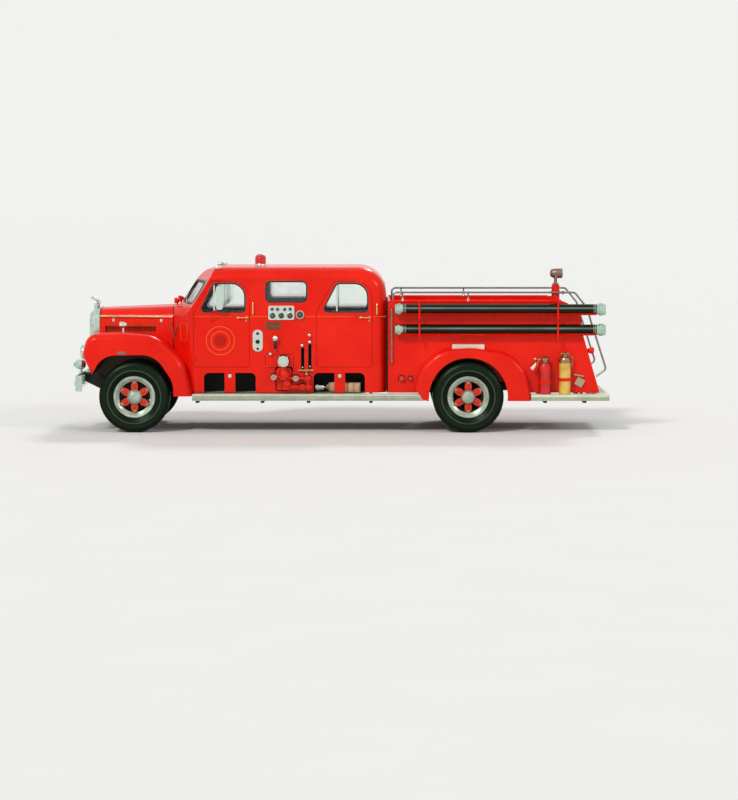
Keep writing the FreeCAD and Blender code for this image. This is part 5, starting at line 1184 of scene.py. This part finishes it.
# ---------------------------------------------------------------- lamps
def headlamp_glass():
    """A bulging glass and a turned rim on each headlamp."""
    turns = [math.radians(5 + 3.75 * k) for k in range(9)]
    bulge = [(158 * math.sin(a), 158 * math.cos(a) - 128.8) for a in turns]
    rim = [(88, 0), (88, 8), (96, 14), (106, 6), (107, -30), (104, -30)]
    for side, s in SIDES:
        centre = at(-812, s * 880, 1215)
        glass_bm = lathe([(0, 29.2)] + bulge + [(90, -4)], centre, AHEAD, 48)
        add_object("headlamp_lens_" + side, glass_bm, "clear_lens", smooth=60)
        add_object("headlamp_rim_" + side, lathe(rim, centre, AHEAD, closed=True), "chrome", smooth=50)


MARKERS = (                   # x, |y|, z, radius, glass, rim
    (-232, 900, 1628, 50, "amber_lens", "chrome"),
    (572, 420, 1984, 44, "red_lens", "red_enamel"),
    (1238, 850, 2506, 42, "clear_lens", "chrome"),
    (1236, 250, 2540, 26, "red_lens", "chrome"),
)


def marker_glass():
    """Glass and rim of the small lamps on fenders, cowl and roof."""
    for i, (x, y, z, r, glass_finish, rim_finish) in enumerate(MARKERS):
        bulge = [(0, 7.5), (r * 0.35, 6.5), (r * 0.62, 4.5), (r * 0.80, 1), (r * 0.86, -3), (0, -3)]
        rim = [(r * 0.80, -2), (r * 0.86, 3), (r * 0.98, -4), (r * 1.02, -14), (r * 0.9, -14)]
        for side, s in SIDES:
            centre = at(x, s * y, z)
            name = "%d_%s" % (i, side)
            add_object("marker_lens_" + name, lathe(bulge, centre, AHEAD, 32), glass_finish, smooth=60)
            rim_bm = lathe(rim, centre, AHEAD, 32, closed=True)
            add_object("marker_rim_" + name, rim_bm, rim_finish, smooth=50)


def tail_glass():
    """Red glass on the two tail lamps."""
    for side, s in SIDES:
        bm = lathe([(0, 8), (22, 6.5), (36, 3), (42, -2), (0, -2)], at(7000, s * 905, 1240), BACK, 32)
        add_object("tail_lens_" + side, bm, "red_lens", smooth=60)


def beacon_details():
    """A bright base ring round the foot of the red dome."""
    centre = middle("beacon")
    foot = Vector((centre.x, centre.y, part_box("beacon")[0][2]))
    ring = lathe([(91.5, 0), (92.5, 0), (92.5, 16), (86.5, 28), (85.5, 26)], foot, UP, closed=True)
    add_object("beacon_base", ring, "chrome", smooth=50)


def searchlight_glass():
    """The front glass of the searchlight, which looks back at rest."""
    bm = lathe([(0, 6), (30, 5), (58, 0.5), (58, -2), (0, -2)], at(6516, -905, 2418), BACK, 48)
    add_object("searchlight_lens", bm, "pink_lens", "lamp_head", 60)


def mirror_glass():
    """The silvered face of each door's mirror."""
    for side, s in SIDES:
        face = plate(oblong(1263, 1884, 1344, 2220, 30), on_side(s, 1106, -1), 2)
        add_object("mirror_face_" + side, face, "mirror_silver_" + side, "door_front_" + side, 30)


# ---------------------------------------------------------------- front end
def grille_details():
    """Fine horizontal fins of the core behind the slats."""
    bm = bmesh.new()
    low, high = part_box("radiator_grille")
    x, half, thick, pitch = low[0] + 0.046, 0.215, 0.004, 0.016
    for z in steps(low[2] + 0.01, high[2] - 0.02, pitch):
        merge(bm, block((x, -half, z), (x + thick, half, z + thick)))
    add_object("core_fins", bm, "steel", smooth=30)


BONNET_EDGE = ((-587, 370), (560, 600))         # x and half width of the bonnet, front and back
COWL_EDGE = ((566, 600), (850, 985))            # x and half width of the cowl's slanted sides


def line_at(x, start, end):
    """The value at x on the line through two points (x, value)."""
    return start[1] + (end[1] - start[1]) * (x - start[0]) / (end[0] - start[0])


def bonnet_half(x):
    """Half width of the bonnet."""
    return line_at(x, *BONNET_EDGE)


def bonnet_details():
    """Two catches on each side, under the edge of the bonnet lid."""
    for side, s in SIDES:
        bm = bmesh.new()
        for x in (-375.52, 374.24):
            p = at(x, s * (bonnet_half(x) - 2), 1690)
            far = Vector((18, 12 if side == "right" else 4, 14))
            merge(bm, block(p - Vector((18, 8, 30)) * MM, p + far * MM, 4))
        add_object("catches_" + side, bm, "chrome")


def bonnet_lacing():
    """The dark webbing that the bonnet's front edge rests on, round the back of the radiator shell."""
    line = [(-368, 1300), (-368, 1500), (-368, 1660)]
    for k in range(7):
        a = math.radians(180 - 15 * k)
        line.append((-200 + 168 * math.cos(a), 1691 + 168 * math.sin(a)))
    line.append((0, 1859))
    line += [(-y, z) for y, z in line[-2::-1]]
    add_object("bonnet_lacing", sweep([at(-589, y, z) for y, z in line], 5.2), "black_rubber", smooth=60)


def fender_plates():
    """A small bare plate with two screws on the flank of each front fender, above the wheel."""
    def on_fender(x, z, off):
        start = at(x, -1500, z)
        hit, place, _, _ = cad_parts["front_fenders"].ray_cast(start, Vector((0, 1, 0)))
        return (place if hit else start) + LEFT * off * MM

    outline = oblong(-246, 1196, -106, 1240, 20, 4)
    bm = plate(outline, lambda a, b, h: on_fender(a, b, h - 1.5), 5.5, 1.5)
    for x in (-226, -126):
        merge(bm, bolt(on_fender(x, 1218, 3), LEFT, 9, 6))
    add_object("fender_plates", on_both(bm), "aged_metal")


def louvre_shade_sheets():
    """Pressed dark red sheets a little inside the louvred side panels, which stand in as painted shade there.
    """
    def place(a, b, h):
        return at(a, 52 - bonnet_half(a) - h, b)

    bm = plate(oblong(-535, 1490, 318, 1606, 12, 4), place, 3, 1)
    for z in (1500, 1596):
        merge(bm, sweep([place(x, z, 4) for x in (-525, -100, 308)], 4, 8))
    add_object("louvre_shade_sheets", on_both(bm), "louvre_shade_enamel")


def ornament():
    """A plain streamlined figure that leans forward on the radiator cap, with two swept fins."""
    bm = lathe([(0, 0), (40, 0), (42, 8), (30, 14), (24, 22), (0, 24)], at(-668, 0, 1917), UP, 32)
    body = [(-602, 1922), (-622, 1940), (-650, 1962), (-685, 1984), (-720, 2004), (-752, 2022), (-776, 2034),
            (-790, 2038)]
    merge(bm, sweep([at(x, 0, z) for x, z in body], [6, 20, 28, 29, 24, 19, 14, 4], 18))
    merge(bm, sweep([at(-668, 0, 1936), at(-674, 0, 1956), at(-684, 0, 1976)], [20, 15, 20], 14))
    for _, s in SIDES:
        def place(a, b, h, s=s):
            # a runs down the figure's back from its head, b stands square to it
            y = s * (8 + 0.16 * (a - 46) + h)
            return at(-790 + 0.851 * a + 0.525 * b, y, 2038 - 0.525 * a + 0.851 * b)

        fin = [(46, 12, 3), (86, 31, 8), (178, 26, 3), (182, 12, 3), (120, 2, 6)]
        merge(bm, plate(rounded(fin, 0, 4), place, 5, 2))
    add_object("radiator_figure", bm, "chrome", smooth=50)


COWL_OUT = (-0.805, -0.594, 0)                  # the way its left side looks


def cowl_side(x, z, off):
    """A point off millimetres outside the slanted left side of the cowl."""
    return at(x + COWL_OUT[0] * off, COWL_OUT[1] * off - line_at(x, *COWL_EDGE), z)


def cowl_details():
    """The seam of a side vent and a small V brace beside it with its three feet, on both sides."""
    vent = oblong(681, 1395, 800, 1658, 14)
    seam = frame_strip(vent, lambda a, b, h: cowl_side(a, b, h - 0.3), 6, 2.8)
    # the vent's seam is orange: a painted highlight line
    add_object("cowl_vents", on_both(seam), "orange_highlight_enamel")
    corner = cowl_side(588, 1420, 14)
    brace = sweep([at(524, -612, 1652), at(560, -622, 1530), corner], 7)
    merge(brace, sweep([corner, cowl_side(614, 1490, 12), cowl_side(640, 1600, 10)], 5.5))
    foot = [(0, 0), (13, 0), (11, 14), (6, 20), (0, 21)]
    merge(brace, lathe(foot, at(524, -592, 1652), LEFT, 16))
    for x, z in ((588, 1420), (640, 1600)):
        merge(brace, lathe(foot, cowl_side(x, z, 0), COWL_OUT, 16))
    add_object("cowl_braces", on_both(brace), "aged_metal")


def screen_point(y, z, off):
    """A point off millimetres in front of the windscreen's plane."""
    sweep_back, rake = 0.2386, 0.641
    normal = Vector((-1, sweep_back * (1 if y > 0 else -1), rake)).normalized()
    return at(613 + rake * (z - 1867) + sweep_back * abs(y), y, z) + normal * off * MM


def wipers():
    """Two wipers parked along the foot of the screen."""
    bm = bmesh.new()
    for _, s in SIDES:
        pivot, tip = screen_point(s * 420, 1945, 12), screen_point(s * 160, 2075, 22)
        bend = pivot.lerp(tip, 0.5) + Vector((-12, 0, 0)) * MM
        merge(bm, sweep([pivot, bend, tip], [6, 5, 4], 8))
        merge(bm, sweep([screen_point(s * 60, 1985, 10), screen_point(s * 270, 2165, 10)], 4.5, 8))
        merge(bm, lathe([(0, -14), (16, -14), (14, 6), (0, 8)], pivot, (-0.84, 0, 0.54), 16))
    add_object("wipers", bm, "steel", smooth=50)


def screen_trims():
    """A black rubber frame round both windscreen panes."""
    pane = rounded([(38, 1972, 30), (38, 2278, 30), (760, 2262, 70), (850, 1962, 60)], 0, 6)
    rubber = bmesh.new()
    for _, s in SIDES:
        merge(rubber, frame_strip(pane, lambda a, b, h: screen_point(s * a, b, h), 26, 6, inward=False))
    add_object("screen_rubber", rubber, "black_rubber", smooth=50)


# ---------------------------------------------------------------- body details
BELT_RUNS = {                 # stretches of the belt's bead on each body
    "chassis": [(858, 888), (1760, 2028), (2592, 2758), (3630, 3832)],
    "door_front": [(902, 1478)],
    "door_rear": [(2772, 3348)],
}


def side_beads():
    """Rolled beads along the belt and under the roof, each length on the panel that carries it; their orange
    colour is a painted highlight.
    """
    for side, s in SIDES:
        for body, runs in BELT_RUNS.items():
            bm = bmesh.new()
            for x0, x1 in runs:
                merge(bm, bead_run(x0, x1, 1763, s * 984.8, 5.2))
            if body == "chassis":
                merge(bm, bead_run(1290, 3480, 2314, s * 973.5, 6))
            rides = body if body == "chassis" else "%s_%s" % (body, side)
            add_object("belt_%s_%s" % (body, side), bm, "orange_highlight_enamel", rides, 50)


def bead_run(x0, x1, z, y, r):
    """A straight half-sunk bead with tapered ends."""
    ends = (x0, x0 + 8, x0 + 20, x1 - 20, x1 - 8, x1)
    return sweep([at(x, y, z) for x in ends], [r * 0.2, r * 0.8, r, r, r * 0.8, r * 0.2])


def body_seals():
    """Rubber in the gap between the cab and the hose body."""
    for side, s in SIDES:
        y0, y1 = sorted((s * 905, s * 962))
        add_object("body_seal_" + side, block(at(3836.5, y0, 603), at(3860.5, y1, 1985), 4), "black_rubber")


def post_latches():
    """A bright latch at the head of each post between the step wells."""
    bm = bmesh.new()
    for x in (1448, 3124):
        c = at(x, -977, 856)
        merge(bm, block(c - Vector((24, 4, 27)) * MM, c + Vector((24, 2, 27)) * MM, 3))
        merge(bm, lathe([(0, 0), (13, 0), (12, 6), (6, 8), (0, 8)], c + LEFT * 3 * MM, LEFT, 18))
    add_object("post_latches", on_both(bm), "panel_bright")


PACKING_AND_SHADE = (                   # x, z, inner and outer radius, |y| of the panel
    (2267, 1087, 72, 94, SKIN), (2120, 844, 36, 58, SKIN), (2457, 825, 36, 58, SKIN),
    (2560, 690, 29, 58, SKIN), (2640, 820, 29, 58, SKIN),
    (4067, OUTLET_Z, 33, 54, BED_Y), (4202, OUTLET_Z, 23, 44, BED_Y),
)


def packing_and_shade():
    """Black packing behind the pump's casting and round each cap where it leaves the panels; its dark rims
    also stand in as painted shade round them.
    """
    outline = rounded([(2149, 626), (2134, 1001), (2409, 1001), (2394, 626)], 40)
    bm = plate(outline, on_side(-1, SKIN), 1.8)
    for x, z, low, high, y in PACKING_AND_SHADE:
        ring = [(low, 0), (high, 0), (high - 2, 3.5), (low, 3.5)]
        merge(bm, lathe(ring, at(x, -y, z), LEFT, 40, closed=True))
    add_object("packing_and_shade", on_both(bm), "recess_black")


def discharge_rings():
    """A turned lip and a square drive on each capped outlet of the hose body."""
    bm = bmesh.new()
    for x, r in OUTLETS:
        face = at(x, -1061.5, OUTLET_Z)
        lip = [(r * 0.62, 0), (r * 0.68, 6), (r * 0.86, 6), (r * 0.95, 0)]
        merge(bm, lathe(lip, face, LEFT, 40, closed=True))
        merge(bm, lathe([(0, 0), (r * 0.34, 0), (r * 0.34, 10), (r * 0.26, 13), (0, 13)], face, LEFT, 4))
    add_object("discharge_rings", on_both(bm), "casting_enamel")


def casting_bolts():
    """Studs round the flanges of the pump's pipes, and a rolled ring on each."""
    studs, rings = bmesh.new(), bmesh.new()
    for x, z in PIPES:
        for i in range(6):
            p = at(x, -1091.5, z) + arm_at(60 * i + 15) * 43 * MM
            merge(studs, lathe([(0, 0), (5.6, 0), (5.6, 6), (4.2, 7.5), (0, 8)], p, LEFT, 6))
        ring = [(26, 0), (32.5, 0), (32.5, 3), (29, 5), (26, 3)]
        merge(rings, lathe(ring, at(x, -1109.5, z), LEFT, 32, closed=True))
    add_object("casting_studs", on_both(studs), "aged_metal", smooth=30)
    add_object("casting_rings", on_both(rings), "casting_enamel")


def rivet_rows():
    """Rivets along the hose body's foot, except behind the rear fenders, and up its front edge."""
    bm = bmesh.new()
    row = [(x, 640) for x in steps(3905, 6990, 90) if not 4300 < x < 6050]
    row += [(3890, z) for z in steps(700, 1960, 120)]
    for _, s in SIDES:
        for x, z in row:
            merge(bm, lathe(dome(8, 6, 3.5, 4.5), at(x, s * BED_Y, z), (0, s, 0), 10))
    add_object("body_rivets", bm, "red_enamel")


def fender_beads():
    """A rolled bead round each rear wheel opening, in a darker orange-brown that is painted shading of the
    fender's roll.
    """
    bm = bmesh.new()
    for _, s in SIDES:
        centre = Vector((REAR_AXLE.x, s * BOARD_Y * MM, REAR_AXLE.z))
        merge(bm, sweep([centre + arm_at(-2 + 4.6 * k) * (REAR_ARCH_R * MM) for k in range(41)], 8, 8))
    add_object("rear_arch_beads", bm, "arch_shade_enamel", smooth=50)


def board_edges():
    """Two bright strips along the edge of each running board, with their bolts."""
    strips, bolts = bmesh.new(), bmesh.new()
    for _, s in SIDES:
        y0, y1 = sorted((s * (BOARD_Y - 0.5), s * (BOARD_Y + 3.5)))
        for z in (553, 508):
            merge(strips, block(at(884, y0, z), at(4325, y1, z + 13), 1, 1))
        for x in steps(1000, 4300, 400):
            merge(bolts, bolt(at(x, s * BOARD_Y, 537), (0, s, 0), 8, 6))
    add_object("board_strips", strips, "steel", smooth=30)
    add_object("board_bolts", bolts, "steel", smooth=30)


TREAD_AREAS = (               # from x to x, from y to y: running boards and tailboard's arms, then its back
    (900, 4270, -1180, -990), (6050, 7210, -1188, -1008), (900, 4270, 990, 1180), (6050, 7210, 1008, 1188),
    (7085, 7210, -980, 980),
)
TREAD_BAR = ((-13, 0, 0), (0, -4.2, 0), (13, 0, 0), (0, 4.2, 0), (-6.5, 0, 2.2), (6.5, 0, 2.2))
TREAD_FACES = ((0, 1, 4), (1, 5, 4), (1, 2, 5), (2, 3, 5), (3, 4, 5), (3, 0, 4))


def tread_diamonds():
    """Raised bars of the tread plate on the boards' tops."""
    bm = bmesh.new()
    half_pitch, top = 21, 585.2
    for x0, x1, y0, y1 in TREAD_AREAS:
        for row, y in enumerate(steps(y0 + half_pitch, y1, half_pitch)):
            odd = row % 2
            turn = Matrix.Rotation(math.radians(45 if odd else -45), 4, "Z")
            for x in steps(x0 + half_pitch * (1 + odd), x1, 2 * half_pitch):
                put = Matrix.Translation(at(x, y, top)) @ turn
                v = [bm.verts.new(put @ (Vector(p) * MM)) for p in TREAD_BAR]
                for f in TREAD_FACES:
                    bm.faces.new([v[i] for i in f])
    add_object("tread_bars", bm, "tread_plate", smooth=0)


# ---------------------------------------------------------------- cab inside
# the seats' pads, in metres
PAD_VOXEL = 0.016             # cell of the remeshed form
PAD_PRESSURE = 4
PAD_FRAMES = 20               # of cloth simulation
PAD_SWELL = 0.022             # furthest a point may move
PAD_CHANNELS = 14             # sewn channels across a bench
CHANNEL_DEPTH = 0.009
CHANNEL_HALF = 0.010
SEAM_DEPTH = 0.004
SEAM_LEVEL = 0.022            # of the side seam, from the pad's middle towards its face
SEAM_HALF = 0.008
BENCHES = ((1250, 1650), (3130, 3540))
BACK_TILT = math.atan2(75, 530)


def seat_pieces():
    """Bench cushions and back rests: leather pads blown up on the CAD benches' places, channels sewn in."""
    made = []
    for i, (x0, x1) in enumerate(BENCHES):
        base = pad(at(x0 + 6, -854, 1290), at(x1 - 6, 854, 1418), (0.012, 0.012, 0.022), UP)
        cushion = add_object("seat_cushion_%d" % i, base, "seat_leather", smooth=60)
        low, high = Vector((-0.062, -0.854, 0.0)), Vector((0.045, 0.854, 0.505))
        back = pad(low, high, (0.016, 0.012, 0.012), AHEAD)
        back.transform(Matrix.Translation(at(x1 + 42, 0, 1425)) @ Matrix.Rotation(BACK_TILT, 4, "Y"))
        rest = add_object("seat_back_%d" % i, back, "seat_leather", smooth=60)
        made += [cushion, rest]
    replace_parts(made[0], "cab_seats")


def pad(low, high, inset, face):
    """A pad inside a box, in metres: a smaller soft-edged form swollen by cloth under pressure, flat where
    it meets the box, with channels and a side seam pressed in; face is the way its channelled side looks."""
    face = Vector(face)
    centre = (low + high) / 2
    half = (high - low) / 2 - Vector(inset)
    bm = bmesh.new()
    bmesh.ops.create_cube(bm, size=2.0)
    bmesh.ops.subdivide_edges(bm, edges=bm.edges[:], cuts=15, use_grid_fill=True)
    for v in bm.verts:
        soft_edge(v.co)
        v.co = Vector((centre[k] + v.co[k] * half[k] for k in range(3)))
    bm = blown_up(bm)
    axis = 2 if face.z else 0
    for v in bm.verts:
        normal, co = v.normal, v.co
        for k in range(3):
            co[k] = min(max(co[k], low[k]), high[k])
        if normal.dot(face) > 0.4:
            across = (co.y - low.y) / (high.y - low.y) * PAD_CHANNELS
            off = (across - round(across)) * (high.y - low.y) / PAD_CHANNELS
            edge = min(1.0, (half.y + 0.01 - abs(co.y - centre.y)) / 0.05)
            v.co -= face * CHANNEL_DEPTH * math.exp(-(off / CHANNEL_HALF) ** 2) * max(0.0, edge)
        elif abs(normal[axis]) < 0.5:
            level = (co[axis] - centre[axis]) * (face[axis])
            v.co -= normal * SEAM_DEPTH * math.exp(-((level - SEAM_LEVEL) / SEAM_HALF) ** 2)
    return bm


def soft_edge(co):
    """Gives a cube's point a superelliptic section across y, and sides that draw in between the ends."""
    flat = max(abs(co[k]) for k in (0, 2))
    length = sum(abs(co[k]) ** 5 for k in (0, 2)) ** 0.2
    shrink = flat / length if length > 0 else 1.0
    ends = max(0.0, (abs(co.y) - 0.93) / 0.07)
    drawn = 1 - 0.022 * (1 - co.y * co.y)
    co.x = co.x * shrink * drawn
    co.z = co.z * shrink
    co.x *= 1 - 0.14 * ends * ends
    co.z *= 1 - 0.14 * ends * ends


def blown_up(bm):
    """The closed form remeshed, swollen by cloth with pressure and subdivided once."""
    mesh = bpy.data.meshes.new("pad_start")
    bm.to_mesh(mesh)
    bm.free()
    obj = bpy.data.objects.new("pad_start", mesh)
    bpy.context.collection.objects.link(obj)
    remesh = obj.modifiers.new("remesh", "REMESH")
    remesh.mode = "VOXEL"
    remesh.voxel_size = PAD_VOXEL
    take_shape(obj)
    start = [v.co.copy() for v in obj.data.vertices]
    cloth = obj.modifiers.new("cloth", "CLOTH")
    cloth.settings.use_pressure = True
    cloth.settings.uniform_pressure_force = PAD_PRESSURE
    cloth.settings.effector_weights.gravity = 0
    for number in range(1, PAD_FRAMES + 1):
        bpy.context.scene.frame_set(number)
    take_shape(obj)
    bpy.context.scene.frame_set(1)
    for v, p in zip(obj.data.vertices, start):
        moved = v.co - p
        if moved.length > PAD_SWELL:
            v.co = p + moved * (PAD_SWELL / moved.length)
    smooth = obj.modifiers.new("smooth", "SUBSURF")
    smooth.levels = 1
    take_shape(obj)
    out = bmesh.new()
    out.from_mesh(obj.data)
    out.normal_update()
    bpy.data.objects.remove(obj)
    return out


def take_shape(obj):
    """Applies an object's modifiers."""
    made = bpy.data.meshes.new_from_object(obj.evaluated_get(bpy.context.evaluated_depsgraph_get()))
    obj.modifiers.clear()
    obj.data = made


def steering_wheel():
    """A horn button and a rim with finger grips."""
    hub, foot = at(1130, -450, 1600), at(700, -450, 1180)
    axis = (hub - foot).normalized()
    button = lathe([(0, 12), (30, 16), (42, 30), (30, 44), (0, 48)], hub, axis, 32)
    add_object("horn_button", button, "chrome", smooth=50)
    side = Vector((0, 1, 0))
    up = axis.cross(side)
    count = 72
    turns = [2 * math.pi * i / count for i in range(count + 1)]
    ring = [hub + (side * math.cos(a) + up * math.sin(a)) * 215 * MM for a in turns]
    radii = [16.2 if i % 3 else 13.8 for i in range(count + 1)]
    add_object("steering_rim", sweep(ring, radii, 12, caps=False), "black_rubber", smooth=60)


def dash_details():
    """Dials on the dashboard."""
    rings, faces = bmesh.new(), bmesh.new()
    tilt = Vector((0.98, 0, -0.15))
    for y, r in ((-620, 45), (-450, 62), (-280, 45), (420, 50)):
        centre = at(868, y, 1640)
        ring = [(r * 0.86, 0), (r * 0.86, 12), (r, 12), (r * 1.05, 0)]
        merge(rings, lathe(ring, centre, tilt, 32, closed=True))
        merge(faces, lathe([(0, 4), (r * 0.88, 4), (r * 0.88, 6), (0, 6)], centre, tilt, 32))
    add_object("dash_rings", rings, "chrome")
    add_object("dash_faces", faces, "dial_black")


# ---------------------------------------------------------------- hoses
def hose_rings():
    """Clamps at the ends of the suction hoses."""
    bm = bmesh.new()
    clamp = [(77.5, -6), (81, -4), (81, 4), (77.5, 6)]
    for z in HOSE_Z:
        for x in (4100, 4124, 6980, 7004):
            merge(bm, lathe(clamp, at(x, -HOSE_Y, z), BACK, 40, closed=True))
    add_object("hose_clamps", bm, "steel")


TURN_START = 2880             # x where the soft hose begins to turn on its edge
TURN_LENGTH = 130
TURN_POINTS = 14              # points of its path that the turn may reach
HOSE_THICK = 0.011            # of the folded soft hose, in metres
HOSE_FLAT = 0.138             # width of the soft hose when flat, in metres
HOSE_PATH = [                 # x, y and height over the step well's pan
    (2872, -860, 0), (2940, -862, 4), (3010, -868, 12), (3080, -876, 14), (3150, -896, 10), (3176, -918, 4),
    (3206, -921, 2), (3228, -900, 0), (3240, -880, 0), (3254, -900, 0), (3276, -922, 2), (3308, -922, 2),
    (3330, -900, 0), (3342, -880, 0), (3356, -900, 0), (3380, -922, 0), (3412, -918, 0), (3434, -894, 0),
    (3434, -866, 0), (3408, -846, 0), (3300, -842, 0), (3200, -842, 0), (3130, -834, 0), (3112, -812, 0),
    (3135, -792, 0), (3220, -786, 0), (3330, -790, 0), (3418, -782, 0), (3436, -760, 0), (3410, -738, 0),
    (3300, -734, 0), (3150, -736, 0),
]
HOSE_SECTION = ((-1, 0.03), (-1.25, 0.5), (-1, 0.97), (0, 1.0), (1, 0.97), (1.25, 0.5), (1, 0.03), (0, 0))


def soft_hose():
    """A folded length of flat canvas hose on edge in the step well, with its bright coupling."""
    coupling = lathe(
        [(0, 0), (44, 0), (50, 6), (50, 16), (60, 20), (60, 52), (48, 58), (44, 130), (36, 140), (0, 140)],
        at(2746, -860, 676), BACK, 40,
    )
    ring = add_object("soft_hose_coupling", coupling, "chrome")
    path = smooth_path([Vector(p) for p in HOSE_PATH], 6)
    feet = [at(p.x, p.y, WELL_FLOOR_Z + p.z) for p in path]
    length = sum((b - a).length for a, b in zip(feet, feet[1:]))
    sections = []
    for i, p in enumerate(path):
        ahead = (path[min(i + 1, len(path) - 1)] - path[max(i - 1, 0)])
        flat = Vector((ahead.x, ahead.y, 0)).normalized()
        side = Vector((-flat.y, flat.x, 0))
        wave = 0.003 * math.sin(i * 0.9)
        # flat where it leaves the coupling, a quarter turn later on its edge
        turn = min(1.0, max(0.0, (p.x - TURN_START) / TURN_LENGTH)) if i < TURN_POINTS else 1.0
        turn = math.pi / 2 * turn * turn * (3 - 2 * turn)
        upward = Vector((0, 0, math.sin(turn))) - side * math.cos(turn)
        outward = side * math.sin(turn) + Vector((0, 0, math.cos(turn)))
        axis = feet[i] + Vector((0, 0, HOSE_FLAT / 2))
        sections.append([
            axis + outward * across * HOSE_THICK / 2 + upward * ((up - 0.5) * HOSE_FLAT + wave * up)
            for across, up in HOSE_SECTION
        ])
    bm = skin(sections, caps=True)
    hose = add_object("soft_hose_folds", bm, "hose_canvas", smooth=60)
    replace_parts(hose, "soft_hose")
    flat = (HOSE_FLAT, round(length, 3))


def smooth_path(points, count):
    """Catmull-Rom points through a list of points, count to each stretch."""
    out = []
    n = len(points)
    for i in range(n - 1):
        p0, p1, p2, p3 = points[max(i - 1, 0)], points[i], points[i + 1], points[min(i + 2, n - 1)]
        for k in range(count):
            t = k / count
            square, cube = 2 * p0 - 5 * p1 + 4 * p2 - p3, 3 * p1 - p0 - 3 * p2 + p3
            out.append(0.5 * ((2 * p1) + (p2 - p0) * t + square * t * t + cube * t ** 3))
    out.append(points[-1])
    return out


# ---------------------------------------------------------------- stage
SUNS = (                      # name, where it shines from, strength, colour
    ("key", (-0.55, -0.95, 0.82), 1.5, (1, 0.98, 0.95)),
    ("fill", (0.80, -0.70, 0.50), 0.5, (0.95, 0.98, 1)),
    ("back", (0.30, 0.90, 0.80), 0.9, (1, 1, 1)),
)
SUN_WIDTH = math.radians(10)
FLOOR_RADIUS = 400.0          # in metres
CAMERA_TARGET = Vector((0.45, 0, 0.41))
CAMERA_ELEVATION = math.radians(4.5)
CAMERA_DISTANCE = 41.0


def studio_world():
    """A grey light, seen as a pale background by the camera, in reflections and through glass."""
    world = bpy.data.worlds.new("studio")
    bpy.context.scene.world = world
    world.use_nodes = True
    tree = world.node_tree
    light = tree.nodes["Background"]
    light.inputs["Color"].default_value = (0.46, 0.46, 0.46, 1)
    shown = tree.nodes.new("ShaderNodeBackground")
    shown.inputs["Color"].default_value = (0.88, 0.88, 0.865, 1)
    rays = tree.nodes.new("ShaderNodeLightPath").outputs
    seen = rays["Is Camera Ray"]
    for kind in ("Is Glossy Ray", "Is Transmission Ray"):
        either = tree.nodes.new("ShaderNodeMath")
        either.operation = "MAXIMUM"
        tree.links.new(seen, either.inputs[0])
        tree.links.new(rays[kind], either.inputs[1])
        seen = either.outputs[0]
    mix = tree.nodes.new("ShaderNodeMixShader")
    tree.links.new(seen, mix.inputs["Fac"])
    tree.links.new(light.outputs[0], mix.inputs[1])
    tree.links.new(shown.outputs[0], mix.inputs[2])
    tree.links.new(mix.outputs[0], tree.nodes["World Output"].inputs["Surface"])


def stage():
    """A pale floor, a soft key sun from the front left, and two weaker ones."""
    studio_world()
    bm = bmesh.new()
    bmesh.ops.create_circle(bm, cap_ends=True, radius=FLOOR_RADIUS, segments=96)
    mesh = bpy.data.meshes.new("floor")
    bm.to_mesh(mesh)
    bm.free()
    floor = bpy.data.objects.new("floor", mesh)
    bpy.context.collection.objects.link(floor)
    n = Nodes("pale_floor")
    n.set(Base_Color=n.clouds(0.8, 3.0, (0.838, 0.838, 0.828), (0.853, 0.853, 0.843)), Roughness=0.95)
    mesh.materials.append(n.material)
    for name, place, strength, colour in SUNS:
        sun = bpy.data.lights.new(name, "SUN")
        sun.energy = strength
        sun.angle = SUN_WIDTH
        sun.color = colour
        obj = bpy.data.objects.new(name, sun)
        obj.rotation_euler = (-Vector(place)).to_track_quat("-Z", "Y").to_euler()
        bpy.context.collection.objects.link(obj)


def camera():
    """A long lens far off the vehicle's left side, looking slightly down."""
    data = bpy.data.cameras.new("camera")
    data.lens = 118
    data.clip_end = 500
    obj = bpy.data.objects.new("camera", data)
    bpy.context.collection.objects.link(obj)
    away = Vector((0, -math.cos(CAMERA_ELEVATION), math.sin(CAMERA_ELEVATION)))
    obj.location = CAMERA_TARGET + away * CAMERA_DISTANCE
    obj.rotation_euler = (-away).to_track_quat("-Z", "Y").to_euler()
    bpy.context.scene.camera = obj


PIECES = (
    tyres, wheel_details, window_trims, door_seals, emblem_rings, keyholes, gauges, pump_controls,
    nameplates, panel_details, headlamp_glass, marker_glass, tail_glass, grille_details, bonnet_details,
    bonnet_lacing, fender_plates, louvre_shade_sheets, ornament, cowl_details, side_beads, body_seals,
    post_latches, packing_and_shade, discharge_rings, casting_bolts, wipers, screen_trims, seat_pieces,
    steering_wheel, dash_details, rivet_rows, fender_beads, board_edges, tread_diamonds, hose_rings,
    soft_hose, beacon_details, searchlight_glass, mirror_glass,
)


def main():
    """Camera, materials and stage, then the pieces in their order."""
    bpy.context.scene.view_settings.view_transform = "Standard"
    camera()
    make_materials()
    finish_nodes()
    stage()
    for make in PIECES:
        make()


main()
